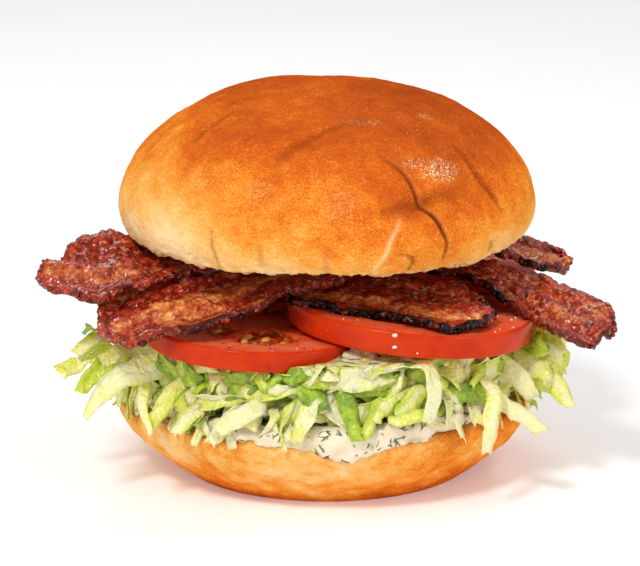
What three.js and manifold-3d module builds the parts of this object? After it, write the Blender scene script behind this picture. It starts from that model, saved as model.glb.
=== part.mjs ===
// A bacon, lettuce and tomato sandwich in a round soft bun, in millimetres.
// +X is to the right, +Y away from the front and +Z up. The origin is the centre of the
// heel's flat base. From the bottom: the heel, a herb sauce, shredded lettuce, four tomato
// slices, five strips of bacon and the crown.
import * as THREE from 'three';
import { mergeVertices } from 'three/addons/utils/BufferGeometryUtils.js';
import Module from 'manifold-3d';

const wasm = await Module();
wasm.setup();

// ---------------------------------------------------------------- driving dimensions

const GAP = 0.35; // clearance kept between two pieces that touch
const SLIVER = 0.08; // detail finer than this is dropped from a cut piece

const HEEL = {
  baseRadius: 40, // flat face that it stands on
  rimRadius: 57.7,
  flareHeight: 20, // the side flares out up to here
  cutHeight: 21, // the cut face that carries the fillings
  lean: 0.9,
};

const CROWN = {
  radius: 57,
  widestHeight: 74,
  topHeight: 107.4,
  cutHeight: 64.7,
  cutRadius: 50.5,
};

const SAUCE = {
  thickness: 3.6,
  radius: 52,
  frontReach: 3.2, // how much further it is squeezed out at the front
};

const LETTUCE = {
  bottom: HEEL.cutHeight + SAUCE.thickness + 2 * GAP,
  coreRadius: 51,
  coreTop: 47,
  shredThickness: 0.9,
  shredWidth: 5.5,
};

// Tomato slices: centre and height of the underside, with its slope along X and along Y.
const TOMATOES = {
  front_left: { radius: 30, thickness: 5.4, at: [-18.5, -25, 40.3], slope: [-0.05, 0.01] },
  front_right: { radius: 33.3, thickness: 6.2, at: [22, -20, 43.6], slope: [-0.095, 0] },
  back_right: { radius: 27.5, thickness: 4.3, at: [31.5, 19.5, 49.2], slope: [-0.085, -0.03] },
  back_left: { radius: 27.5, thickness: 5.2, at: [-20, 25, 46.1], slope: [-0.07, -0.05] },
};

// Bacon strips, each a sheet between its front edge and its rear edge. Both edges run from
// the outer end inwards. tip: how far the outer end stands out between the two edges, from
// the front one to the rear one. fold: height of the folds along the strip, at each point.
const STRIP_THICKNESS = 2.1;
const STRIPS = {
  left_back: {
    front: [[-75.5, -36, 54.9], [-62, -37.5, 54.9], [-50, -35, 57.2], [-38, -28, 60.3],
      [-8, -17, 62.2], [18, -8, 62.7]],
    rear: [[-68, -13, 66], [-57.5, -7.5, 65.8], [-48, -2, 62.6], [-38, 5, 62.5],
      [-12, 16, 62.7], [14, 25, 62.7]],
    tip: [0, 4, 3, 0, 0],
    fold: [1.2, 1.2, 0.6, 0.2, 0, 0],
    ruffle: 0.9,
    seed: 1,
  },
  left_front: {
    front: [[-58, -50.5, 45.3], [-46, -50.3, 47.3], [-33, -49.3, 49.6], [-19, -43, 53.8],
      [-8, -36.5, 57], [4.5, -33.5, 58.4]],
    rear: [[-60, -27, 53], [-46, -24.5, 55.3], [-33, -21, 57.2], [-20, -15.5, 58.5],
      [-8, -12, 58.9], [4, -12, 58.9]],
    tip: [0, 1, 0, 1.5, 0],
    fold: [0.8, 0.8, 0.8, 0.4, 0, 0],
    ruffle: 0.7,
    seed: 2,
  },
  middle: {
    front: [[42, -42.5, 49.9], [34.5, -50, 50.1], [25, -48.5, 50.9], [16, -42, 51.7],
      [4, -39.5, 52.9], [-11, -34, 54.1]],
    rear: [[41, -26.5, 53.4], [34.5, -19.5, 55.4], [24, -16.5, 55.9], [13, -14.5, 56.2],
      [0, -13.5, 56.1], [-12, -12, 55.6]],
    tip: [0, 2, 3, 1, -1],
    fold: [0.6, 0.6, 0.6, 0.4, 0.2, 0],
    ruffle: 0.5,
    seed: 3,
  },
  right_front: {
    front: [[69, -40, 42.4], [60.5, -38.5, 45.7], [51, -25.5, 49.7], [38, -14, 55.2],
      [20, -1, 57.4], [-8, 19, 57.1]],
    rear: [[78.3, -20.5, 46.2], [68.5, -12, 51], [58.3, -5.3, 54.1], [45, 1.5, 55.6],
      [28, 15, 57.2], [0, 35, 57.1]],
    tip: [0, 0, 1.5, 2, 0],
    fold: [0.9, 0.9, 0.5, 0, 0, 0],
    ruffle: 0.8,
    seed: 4,
  },
  right_back: {
    front: [[64.5, 2, 52.3], [56, 1.2, 55.2], [46, 2.5, 59.4], [30, 8, 60.2],
      [8, 15, 60.1], [-28, 30, 59]],
    rear: [[64.5, 16.5, 56.6], [57, 19.5, 59.4], [47, 23, 60.4], [32, 29, 60.3],
      [13, 36, 60], [-20, 50, 57.5]],
    tip: [0, 3, 4, 3, 0],
    fold: [0.7, 0.5, 0.1, 0, 0, 0.4],
    ruffle: 0.6,
    seed: 5,
  },
};

const COLOURS = {
  crown: 0xd98236,
  heel: 0xe3a65c,
  sauce: 0xece0c0,
  lettuce: 0xbfc96a,
  tomato: 0xcf381c,
  bacon: 0x86301e,
};

// ---------------------------------------------------------------- small tools

// A seeded run of numbers from 0 to 1.
function randomRun(seed) {
  let state = seed >>> 0;
  return () => {
    state = (state + 0x6d2b79f5) >>> 0;
    let t = state;
    t = Math.imul(t ^ (t >>> 15), t | 1);
    t ^= t + Math.imul(t ^ (t >>> 7), t | 61);
    return ((t ^ (t >>> 14)) >>> 0) / 4294967296;
  };
}

// A smooth value between evenly spaced ones: t from 0 to 1 along the whole list.
function along(values, t) {
  const last = values.length - 1;
  const place = Math.min(Math.max(t, 0), 1) * last;
  const i = Math.min(Math.floor(place), last - 1);
  const f = place - i;
  const b = values[i];
  const c = values[i + 1];
  const a = i > 0 ? values[i - 1] : 2 * b - c;
  const d = i + 2 <= last ? values[i + 2] : 2 * c - b;
  return b + 0.5 * f * (c - a + f * (2 * a - 5 * b + 4 * c - d + f * (3 * (b - c) + d - a)));
}

// A gentle uneven swell round a circle, from -1 to 1.
function swell(angle, seed) {
  return (
    0.5 * Math.sin(2 * angle + 1.7 * seed) +
    0.3 * Math.sin(3 * angle + 2.9 * seed) +
    0.2 * Math.sin(5 * angle + 0.6 * seed)
  );
}

function meshOf(name, geometry, colour, roughness) {
  const material = new THREE.MeshStandardMaterial({ color: colour, roughness, metalness: 0 });
  const mesh = new THREE.Mesh(geometry, material);
  mesh.name = name;
  return mesh;
}

function geometryOf(points, faces) {
  const geometry = new THREE.BufferGeometry();
  geometry.setAttribute('position', new THREE.Float32BufferAttribute(points.flat(), 3));
  geometry.setIndex(faces.flat());
  return geometry;
}

function solidOf(geometry) {
  const merged = mergeVertices(geometry, 1e-3);
  const mesh = new wasm.Mesh({
    numProp: 3,
    vertProperties: new Float32Array(merged.attributes.position.array),
    triVerts: new Uint32Array(merged.index.array),
  });
  return new wasm.Manifold(mesh);
}

function geometryFrom(solid) {
  const { numProp, numVert, vertProperties, triVerts } = solid.getMesh();
  const points = [];
  for (let i = 0; i < numVert; i++) {
    points.push([...vertProperties.subarray(i * numProp, i * numProp + 3)]);
  }
  return geometryOf(points, [[...triVerts]]);
}

// The largest single body of a solid: scraps that a cut leaves loose are dropped.
function mainBody(solid) {
  return solid.decompose().sort((a, b) => b.volume() - a.volume())[0];
}

// A closed body from rings of points, from the lowest to the highest, each anticlockwise seen
// from above. The two ends are closed by fans round a middle point.
function ringBody(rings, lowMiddle, highMiddle) {
  const count = rings[0].length;
  const points = [...rings.flat(), lowMiddle, highMiddle];
  const low = rings.length * count;
  const high = low + 1;
  const faces = [];
  for (let i = 0; i < count; i++) {
    const next = (i + 1) % count;
    faces.push([low, next, i]);
    faces.push([high, (rings.length - 1) * count + i, (rings.length - 1) * count + next]);
    for (let k = 0; k + 1 < rings.length; k++) {
      const a = k * count + i;
      const b = k * count + next;
      faces.push([a, b, b + count], [a, b + count, a + count]);
    }
  }
  return geometryOf(points, faces);
}

// A closed thin body between two sheets of points, both split into triangles alike.
// upper(u, v) and lower(u, v) give the two faces, with u and v from 0 to 1.
function sheetBody(across, along_, upper, lower) {
  const points = [];
  const faces = [];
  const row = across + 1;
  const half = row * (along_ + 1);
  for (const face of [upper, lower]) {
    for (let i = 0; i <= along_; i++) {
      for (let j = 0; j <= across; j++) points.push(face(i / along_, j / across));
    }
  }
  for (let i = 0; i < along_; i++) {
    for (let j = 0; j < across; j++) {
      const a = i * row + j;
      const b = a + row;
      faces.push([a, b, b + 1], [a, b + 1, a + 1]);
      faces.push([half + a, half + b + 1, half + b], [half + a, half + a + 1, half + b + 1]);
    }
  }
  const wall = (a, b) => faces.push([a, b, half + b], [a, half + b, half + a]);
  for (let i = 0; i < along_; i++) {
    wall((i + 1) * row, i * row);
    wall(i * row + across, (i + 1) * row + across);
  }
  for (let j = 0; j < across; j++) {
    wall(j, j + 1);
    wall(along_ * row + j + 1, along_ * row + j);
  }
  return geometryOf(points, faces);
}

// ---------------------------------------------------------------- the bun

function heelRadius(height) {
  const turn = 0.5 * Math.PI * Math.min(height / HEEL.flareHeight, 1);
  return HEEL.baseRadius + (HEEL.rimRadius - HEEL.baseRadius) * Math.sin(turn);
}

// The heel, grown by a clearance on its sides and its cut face. It leans a little to the left.
function heelGeometry(grow = 0) {
  const sides = 44;
  const heights = [0, 3, 7, 11, 14.5, 17.5, 20.3, HEEL.cutHeight];
  const edge = HEEL.cutHeight + grow;
  const rings = heights.map((height, k) => {
    const rounding = k === heights.length - 1 ? 0.8 : 0;
    return Array.from({ length: sides }, (_, i) => {
      const angle = (2 * Math.PI * i) / sides;
      const radius = heelRadius(height) * (1 + 0.006 * swell(angle, 3)) + grow - rounding;
      const z = k === heights.length - 1 ? edge : height;
      const lean = (HEEL.lean * height) / HEEL.cutHeight;
      return [radius * Math.cos(angle) - lean, radius * Math.sin(angle), z];
    });
  });
  return ringBody(rings, [0, 0, 0], [0, 0, edge]);
}

// The crown's outline at a turn from -90 degrees, the cut face's edge, to +90, the top.
function crownOutline(turn) {
  if (turn >= 0) {
    const rise = CROWN.topHeight - CROWN.widestHeight;
    return [CROWN.radius * Math.cos(turn), CROWN.widestHeight + rise * Math.sin(turn)];
  }
  const drop = CROWN.widestHeight - CROWN.cutHeight;
  const inset = CROWN.radius - CROWN.cutRadius;
  return [CROWN.radius - inset * (1 - Math.cos(turn)), CROWN.widestHeight + drop * Math.sin(turn)];
}

// Soft dents in the crust, along its folds: the point that each is nearest to, its width and
// its depth.
const DENTS = [
  { at: [24.6, -48.5, 84], width: 7, depth: 1.3 },
  { at: [34.5, -42, 84.5], width: 6, depth: 0.9 },
  { at: [42, -32.5, 86], width: 7, depth: 1.0 },
  { at: [-13, -43, 94.5], width: 7, depth: 0.9 },
  { at: [-4, -36, 99.5], width: 7, depth: 1.1 },
  { at: [-29, -18, 100.7], width: 8, depth: 0.9 },
  { at: [-33, 30, 91.5], width: 10, depth: 1.1 },
  { at: [22, 35, 96], width: 10, depth: 1.0 },
];

function crownPoint(angle, turn) {
  const [radius, height] = crownOutline(turn);
  const uneven = 1 + 0.007 * swell(angle, 1);
  const rise = CROWN.topHeight - CROWN.widestHeight;
  const point = new THREE.Vector3(
    radius * uneven * Math.cos(angle),
    radius * uneven * Math.sin(angle),
    height + 0.8 * Math.sin(2 * Math.max(0, turn)) * swell(angle, 2),
  );
  const outwards = new THREE.Vector3(
    point.x / CROWN.radius ** 2,
    point.y / CROWN.radius ** 2,
    Math.max(0, height - CROWN.widestHeight) / rise ** 2,
  ).normalize();
  let pressed = 0;
  for (const { at, width, depth } of DENTS) {
    const distance = point.distanceTo(new THREE.Vector3(...at));
    pressed += depth * Math.exp(-((distance / width) ** 2));
  }
  return point.addScaledVector(outwards, -pressed).toArray();
}

function crownGeometry() {
  const sides = 50;
  const turns = [-90, -62, -36, -16, 2, 14, 26, 37, 47, 56, 64, 71, 77.5, 84];
  const rings = turns.map((degrees) => {
    const turn = THREE.MathUtils.degToRad(degrees);
    return Array.from({ length: sides }, (_, i) => crownPoint((2 * Math.PI * i) / sides, turn));
  });
  return ringBody(rings, [0, 0, CROWN.cutHeight], crownPoint(0, Math.PI / 2));
}

// ---------------------------------------------------------------- the sauce

// How far the sauce is squeezed towards the front, from 0 to 1.
function frontness(angle) {
  return Math.max(0, -Math.sin(angle + 0.08)) ** 2;
}

function sauceLayer(grow) {
  const sides = 36;
  const low = HEEL.cutHeight + GAP - grow;
  const high = HEEL.cutHeight + GAP + SAUCE.thickness + grow;
  const profile = [
    [-1.4, low],
    [0, low + 0.9],
    [0.2, (low + high) / 2],
    [-0.6, high - 0.8],
    [-2.6, high],
  ];
  const rings = profile.map(([inset, z]) =>
    Array.from({ length: sides }, (_, i) => {
      const angle = (2 * Math.PI * i) / sides;
      const squeezed = SAUCE.frontReach * frontness(angle) + 1.6 * swell(angle, 4);
      const radius = SAUCE.radius + squeezed + inset + grow;
      return [radius * Math.cos(angle), radius * Math.sin(angle), z];
    }),
  );
  return solidOf(ringBody(rings, [0, 0, low], [0, 0, high]));
}

// Rounded lumps of sauce pushed out at the front: angle in degrees, distance from the middle,
// height, and half sizes round, outwards and upwards.
const SAUCE_LUMPS = [
  [-119, 53.4, 22.3, 7, 3.2, 2.4],
  [-107, 54.6, 22.6, 8, 3.6, 3.0],
  [-96, 55.2, 22.6, 8, 3.6, 3.2],
  [-85.5, 56.0, 21.0, 8.5, 3.6, 5.2],
  [-75, 55.2, 22.4, 8, 3.8, 4.0],
  [-65, 54.8, 23.2, 7.5, 3.8, 3.6],
  [-56, 54.6, 24.0, 6.5, 3.4, 3.0],
];

function sauceSolid(grow) {
  let solid = sauceLayer(grow);
  for (const [degrees, distance, height, round, out, up] of SAUCE_LUMPS) {
    const angle = THREE.MathUtils.degToRad(degrees);
    const lump = new THREE.SphereGeometry(1, 10, 6);
    lump.deleteAttribute('normal');
    lump.deleteAttribute('uv');
    lump.scale(out + grow, round + grow, up + grow);
    lump.rotateZ(angle);
    lump.translate(distance * Math.cos(angle), distance * Math.sin(angle), height);
    solid = solid.add(solidOf(lump));
  }
  return solid;
}

// ---------------------------------------------------------------- the tomato slices

function tomatoMatrix({ at, slope }) {
  return new THREE.Matrix4()
    .makeTranslation(at[0], at[1], at[2])
    .multiply(new THREE.Matrix4().makeRotationX(Math.atan(slope[1])))
    .multiply(new THREE.Matrix4().makeRotationY(-Math.atan(slope[0])));
}

// A slice lying on z = 0 round its own middle, grown by a clearance on every side.
function sliceGeometry({ radius, thickness, at }, grow = 0) {
  const sides = 32;
  const profile = [
    [-0.8, -grow],
    [0.2, 1 - grow],
    [0.2, thickness - 1 + grow],
    [-0.8, thickness + grow],
  ];
  const rings = profile.map(([inset, z]) =>
    Array.from({ length: sides }, (_, i) => {
      const angle = (2 * Math.PI * i) / sides;
      const reach = radius * (1 + 0.012 * swell(angle, at[0])) + inset + grow;
      return [reach * Math.cos(angle), reach * Math.sin(angle), z];
    }),
  );
  return ringBody(rings, [0, 0, -grow], [0, 0, thickness + grow]);
}

// The hollows that hold the seeds, cut a little way into the upper face.
function seedPockets({ radius, thickness }, count, turn, depth) {
  const inner = 0.24 * radius;
  const outer = 0.68 * radius;
  const pockets = [];
  for (let k = 0; k < count; k++) {
    const middle = turn + (2 * Math.PI * k) / count;
    const spread = Math.PI / count - 0.2;
    const outline = new THREE.Shape();
    outline.moveTo(inner * Math.cos(middle), inner * Math.sin(middle));
    outline.lineTo(outer * Math.cos(middle - spread), outer * Math.sin(middle - spread));
    outline.absarc(0, 0, outer, middle - spread, middle + spread, false);
    const pocket = new THREE.ExtrudeGeometry(outline, {
      depth: depth + 1,
      bevelEnabled: false,
      curveSegments: 4,
    });
    pocket.deleteAttribute('normal');
    pocket.deleteAttribute('uv');
    pocket.translate(0, 0, thickness - depth);
    pockets.push(solidOf(pocket));
  }
  return pockets;
}

function tomatoMesh(key) {
  const slice = TOMATOES[key];
  let solid = solidOf(sliceGeometry(slice));
  for (const pocket of seedPockets(slice, 5, slice.at[0] < 0 ? -1.35 : -0.9, 1.6)) {
    solid = solid.subtract(pocket);
  }
  const mesh = meshOf(`tomato_${key}`, geometryFrom(solid), COLOURS.tomato, 0.35);
  mesh.applyMatrix4(tomatoMatrix(slice));
  return mesh;
}

// ---------------------------------------------------------------- the bacon

// A point on the middle of a strip: u from the outer end to the inner one, w from the front
// edge to the rear one.
function stripPoint(strip, u, w) {
  const onEdge = (edge, t) =>
    new THREE.Vector3(...[0, 1, 2].map((axis) => along(edge.map((point) => point[axis]), t)));
  const front = onEdge(strip.front, u);
  const rear = onEdge(strip.rear, u);
  const rounded = 1 - 0.3 * Math.max(0, 1 - u / 0.06) ** 2 - 0.3 * Math.max(0, (u - 0.92) / 0.08) ** 2;
  const ragged = 1 + 0.05 * Math.sin(26 * u + 2.1 * strip.seed + 2 * w);
  const point = front.clone().lerp(rear, 0.5 + (w - 0.5) * rounded * ragged);
  const outwards = front.clone().add(rear);
  outwards.sub(onEdge(strip.front, 0.15)).sub(onEdge(strip.rear, 0.15)).normalize();
  point.addScaledVector(outwards, along(strip.tip, w) * Math.max(0, 1 - u / 0.2) ** 2);
  const fold = along(strip.fold, u) * Math.cos(4.8 * Math.PI * (w - 0.44));
  const wave = strip.ruffle * Math.max(0, 1 - 1.6 * u) * Math.sin(15 * u + 1.3 * strip.seed + 2 * w);
  point.z += fold + wave;
  return point;
}

// The same point moved off the strip's middle, along its upward normal.
function stripFace(strip, u, w, lift) {
  const step = 0.02;
  const forward = stripPoint(strip, u + step, w).sub(stripPoint(strip, u - step, w));
  const across = stripPoint(strip, u, w + step).sub(stripPoint(strip, u, w - step));
  const normal = forward.cross(across).normalize();
  if (normal.z < 0) normal.negate();
  return stripPoint(strip, u, w).addScaledVector(normal, lift).toArray();
}

function baconMesh(key) {
  const strip = STRIPS[key];
  const face = (lift) => (u, w) => stripFace(strip, u, w, lift);
  const runsRight = strip.front[0][0] < 0;
  const lift = (runsRight ? 0.5 : -0.5) * STRIP_THICKNESS;
  const geometry = sheetBody(6, 20, face(lift), face(-lift));
  return meshOf(`bacon_${key}`, geometry, COLOURS.bacon, 0.4);
}

// ---------------------------------------------------------------- the lettuce

function lettuceCore() {
  const sides = 30;
  const { bottom, coreRadius, coreTop } = LETTUCE;
  const profile = [
    [-3.5, bottom],
    [1.5, bottom + 4],
    [3, bottom + 10],
    [0, coreTop - 3.5],
    [-7, coreTop],
  ];
  const rings = profile.map(([inset, z], k) =>
    Array.from({ length: sides }, (_, i) => {
      const angle = (2 * Math.PI * i) / sides;
      const bump = 1.2 * Math.sin(9 * angle + 2 * k) + 1.4 * swell(angle, k + 1);
      const radius = coreRadius + inset + bump;
      return [radius * Math.cos(angle), radius * Math.sin(angle), z + (k ? 0.5 * bump : 0)];
    }),
  );
  return solidOf(ringBody(rings, [0, 0, bottom], [0, 0, coreTop]));
}

// One wavy ribbon from a start to an end point, bent through a middle point. lean is the
// angle of its face from level at the start and at the end.
function shredSolid({ from, bend, to, width, lean, ripple = 0.6 }) {
  const curve = new THREE.QuadraticBezierCurve3(
    new THREE.Vector3(...from),
    new THREE.Vector3(...bend),
    new THREE.Vector3(...to),
  );
  const up = new THREE.Vector3(0, 0, 1);
  const face = (lift) => (u, w) => {
    const point = curve.getPoint(u);
    const tangent = curve.getTangent(u);
    const across = up.clone().cross(tangent).normalize();
    across.applyAxisAngle(tangent, lean[0] + (lean[1] - lean[0]) * u);
    const normal = tangent.clone().cross(across).normalize();
    const taper = 1 - 0.45 * Math.max(0, (u - 0.7) / 0.3) ** 2;
    point.addScaledVector(across, (w - 0.5) * width * taper);
    point.addScaledVector(normal, lift + ripple * Math.sin(9 * u + 3 * w));
    return point.toArray();
  };
  const half = LETTUCE.shredThickness / 2;
  return solidOf(sheetBody(1, 5, face(half), face(-half)));
}

// Shreds that stand out in the outline: the long ones that reach past the heel.
const LONG_SHREDS = [
  // left, from the highest to the lowest
  { from: [-46, -6, 38], bend: [-58, -14, 41], to: [-66, -20, 43], width: 8, lean: [-0.8, -1.2] },
  { from: [-46, -14, 38], bend: [-60, -20, 42], to: [-69, -26, 37], width: 6.5, lean: [-0.9, -1.1] },
  { from: [-46, -10, 34], bend: [-62, -18, 38], to: [-72, -28, 32.5], width: 6, lean: [-0.6, -0.9] },
  { from: [-43, -20, 32], bend: [-60, -30, 36], to: [-66, -35, 28.5], width: 6, lean: [-0.9, -0.6] },
  { from: [-40, -26, 36], bend: [-60, -38, 40], to: [-64.5, -41, 23.5], width: 8, lean: [-0.7, -0.3] },
  { from: [-35, -33, 37], bend: [-54, -52, 38], to: [-46, -50, 24], width: 6, lean: [-0.1, 0.3] },
  // right, from the highest to the lowest
  { from: [46, -14, 37], bend: [56, -20, 42], to: [62, -21, 38], width: 9, lean: [0.5, 1.1] },
  { from: [46, -2, 36], bend: [58, -10, 38], to: [64.5, -17, 29.5], width: 6, lean: [0.5, 0.9] },
  { from: [46, -12, 34], bend: [58, -22, 36], to: [65, -30, 24], width: 6, lean: [0.6, 0.9] },
  { from: [45, -24, 32], bend: [55, -32, 34], to: [59, -36, 27], width: 6, lean: [0.7, 1.0] },
  { from: [37, -30, 32], bend: [50, -46, 33], to: [56, -43, 21.5], width: 4.5, lean: [0.4, 0.3] },
  { from: [34, -31, 38], bend: [47, -53, 40], to: [42, -51, 17.5], width: 5.5, lean: [0.2, -0.1] },
  // front, hanging over the sauce
  { from: [-40, -36, 36], bend: [-42, -52, 35], to: [-38, -53, 27], width: 6, lean: [0.2, 0.1] },
  { from: [-25, -43, 36], bend: [-24, -58, 35], to: [-20, -58, 26.5], width: 6, lean: [0.2, 0.1] },
  { from: [-10, -47, 37], bend: [-7, -60, 36], to: [-7, -60.5, 25], width: 6.5, lean: [0.2, -0.1] },
  { from: [4, -48, 37], bend: [8, -60, 37], to: [10, -61, 24.5], width: 6, lean: [0.1, 0.1] },
  { from: [20, -42, 38], bend: [28, -57, 39], to: [27, -58, 27], width: 5.5, lean: [0.1, 0] },
];

// Shreds that lie round the side of the heap in three rows, each bulging out in its middle.
const ROW_HEIGHTS = [30, 34.5, 39];

function looseShreds(count) {
  const random = randomRun(20);
  const between = (low, high) => low + (high - low) * random();
  return Array.from({ length: count }, (_, i) => {
    const angle = (2 * Math.PI * (i + between(-0.4, 0.4))) / count;
    const height = ROW_HEIGHTS[i % ROW_HEIGHTS.length] + between(-1.5, 1.5);
    const distance = LETTUCE.coreRadius + between(1.5, 4) + 4 * Math.cos(angle) ** 4;
    const swing = between(-0.8, 0.8);
    const length = between(20, 28);
    const outwards = [Math.cos(angle), Math.sin(angle)];
    const round = [-outwards[1], outwards[0]];
    const place = (forward, out, rise) => [
      outwards[0] * (distance + out) + round[0] * forward,
      outwards[1] * (distance + out) + round[1] * forward,
      height + rise,
    ];
    const reach = 0.5 * length * Math.cos(swing);
    const drop = 0.3 * length * Math.sin(swing);
    return {
      from: place(-reach, -6, drop),
      bend: place(0, between(3, 8), between(-1, 2)),
      to: place(reach, -5, -drop),
      width: LETTUCE.shredWidth * between(0.9, 1.4),
      lean: [between(0.3, 1.0), between(0.5, 1.3)],
    };
  });
}

function lettuceGeometry() {
  const shreds = [...LONG_SHREDS, ...looseShreds(33)].map(shredSolid);
  let heap = wasm.Manifold.union([lettuceCore(), ...shreds]);
  const others = [solidOf(heelGeometry(GAP)), sauceSolid(GAP)];
  for (const slice of Object.values(TOMATOES)) {
    // The space of the slice and all that is above it.
    const above = { ...slice, thickness: slice.thickness + 15 };
    others.push(solidOf(sliceGeometry(above, GAP).applyMatrix4(tomatoMatrix(slice))));
  }
  for (const other of others) heap = heap.subtract(other);
  return geometryFrom(mainBody(heap.simplify(SLIVER)));
}

// ---------------------------------------------------------------- the whole sandwich

const sandwich = new THREE.Group();
sandwich.add(meshOf('bun_heel', heelGeometry(), COLOURS.heel, 0.7));
const clearOfHeel = sauceSolid(0).subtract(solidOf(heelGeometry(GAP)));
const sauce = mainBody(clearOfHeel.simplify(SLIVER));
sandwich.add(meshOf('sauce', geometryFrom(sauce), COLOURS.sauce, 0.3));
sandwich.add(meshOf('lettuce', lettuceGeometry(), COLOURS.lettuce, 0.5));
for (const key of Object.keys(TOMATOES)) sandwich.add(tomatoMesh(key));
for (const key of Object.keys(STRIPS)) sandwich.add(baconMesh(key));
sandwich.add(meshOf('bun_crown', crownGeometry(), COLOURS.crown, 0.45));

export default sandwich;
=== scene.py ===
"""A bacon, lettuce and tomato sandwich in a round soft bun: the visual model.

Shapes are worked out in millimetres and written in metres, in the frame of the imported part:
+X is to the right, +Y away from the front and +Z up, with z = 0 under the heel.
"""

import math

import bpy
import numpy as np
from mathutils.bvhtree import BVHTree
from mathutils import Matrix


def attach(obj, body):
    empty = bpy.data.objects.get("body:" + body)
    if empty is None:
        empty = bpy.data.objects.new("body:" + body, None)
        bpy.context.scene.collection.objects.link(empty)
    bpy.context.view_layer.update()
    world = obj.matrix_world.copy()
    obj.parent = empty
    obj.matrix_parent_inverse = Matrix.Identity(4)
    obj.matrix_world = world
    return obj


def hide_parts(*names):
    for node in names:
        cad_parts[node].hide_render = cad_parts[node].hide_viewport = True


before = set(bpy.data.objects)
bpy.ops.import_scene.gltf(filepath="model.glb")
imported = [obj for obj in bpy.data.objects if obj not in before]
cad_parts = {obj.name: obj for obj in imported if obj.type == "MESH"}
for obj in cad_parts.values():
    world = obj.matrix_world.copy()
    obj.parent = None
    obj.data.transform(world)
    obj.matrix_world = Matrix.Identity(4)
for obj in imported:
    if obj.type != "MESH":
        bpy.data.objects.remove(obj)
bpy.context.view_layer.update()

MM = 0.001

# ---------------------------------------------------------------- the sandwich's sizes

HEEL_BASE_RADIUS = 40
HEEL_RIM_RADIUS = 57.7
HEEL_FLARE_HEIGHT = 20
HEEL_CUT_HEIGHT = 21
HEEL_LEAN = 0.9

CROWN_RADIUS = 57
CROWN_WIDEST_HEIGHT = 74
CROWN_TOP_HEIGHT = 107.4
CROWN_CUT_HEIGHT = 64.7
CROWN_CUT_RADIUS = 50.5
CROWN_RISE = CROWN_TOP_HEIGHT - CROWN_WIDEST_HEIGHT
CROWN_DROP = CROWN_WIDEST_HEIGHT - CROWN_CUT_HEIGHT
CROWN_INSET = CROWN_RADIUS - CROWN_CUT_RADIUS

SAUCE_LOW = 21.35
SAUCE_HIGH = 24.95
SAUCE_RADIUS = 52

LETTUCE_LOW = 25.3
LETTUCE_HIGH = 46.5
LETTUCE_CORE_RADIUS = 50
LETTUCE_BACK = 57.5

# Where the sauce shows from under the lettuce, in degrees round the sandwich.
SAUCE_SHOWS = (-92, -44)

# Tomato slices: middle of the underside, radius, thickness, slope along X and along Y, and how
# pale the flesh under the skin is.
TOMATOES = {
    "front_left": dict(at=(-18.5, -25, 40.3), radius=30, thickness=5.4,
                       slope=(-0.05, 0.01), pale=0.35),
    "front_right": dict(at=(22, -20, 43.6), radius=33.3, thickness=6.2,
                        slope=(-0.095, 0), pale=0.12),
    "back_right": dict(at=(31.5, 19.5, 49.2), radius=27.5, thickness=4.3,
                       slope=(-0.085, -0.03), pale=0.12),
    "back_left": dict(at=(-20, 25, 46.1), radius=27.5, thickness=5.2,
                      slope=(-0.07, -0.05), pale=0.2),
}

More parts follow.
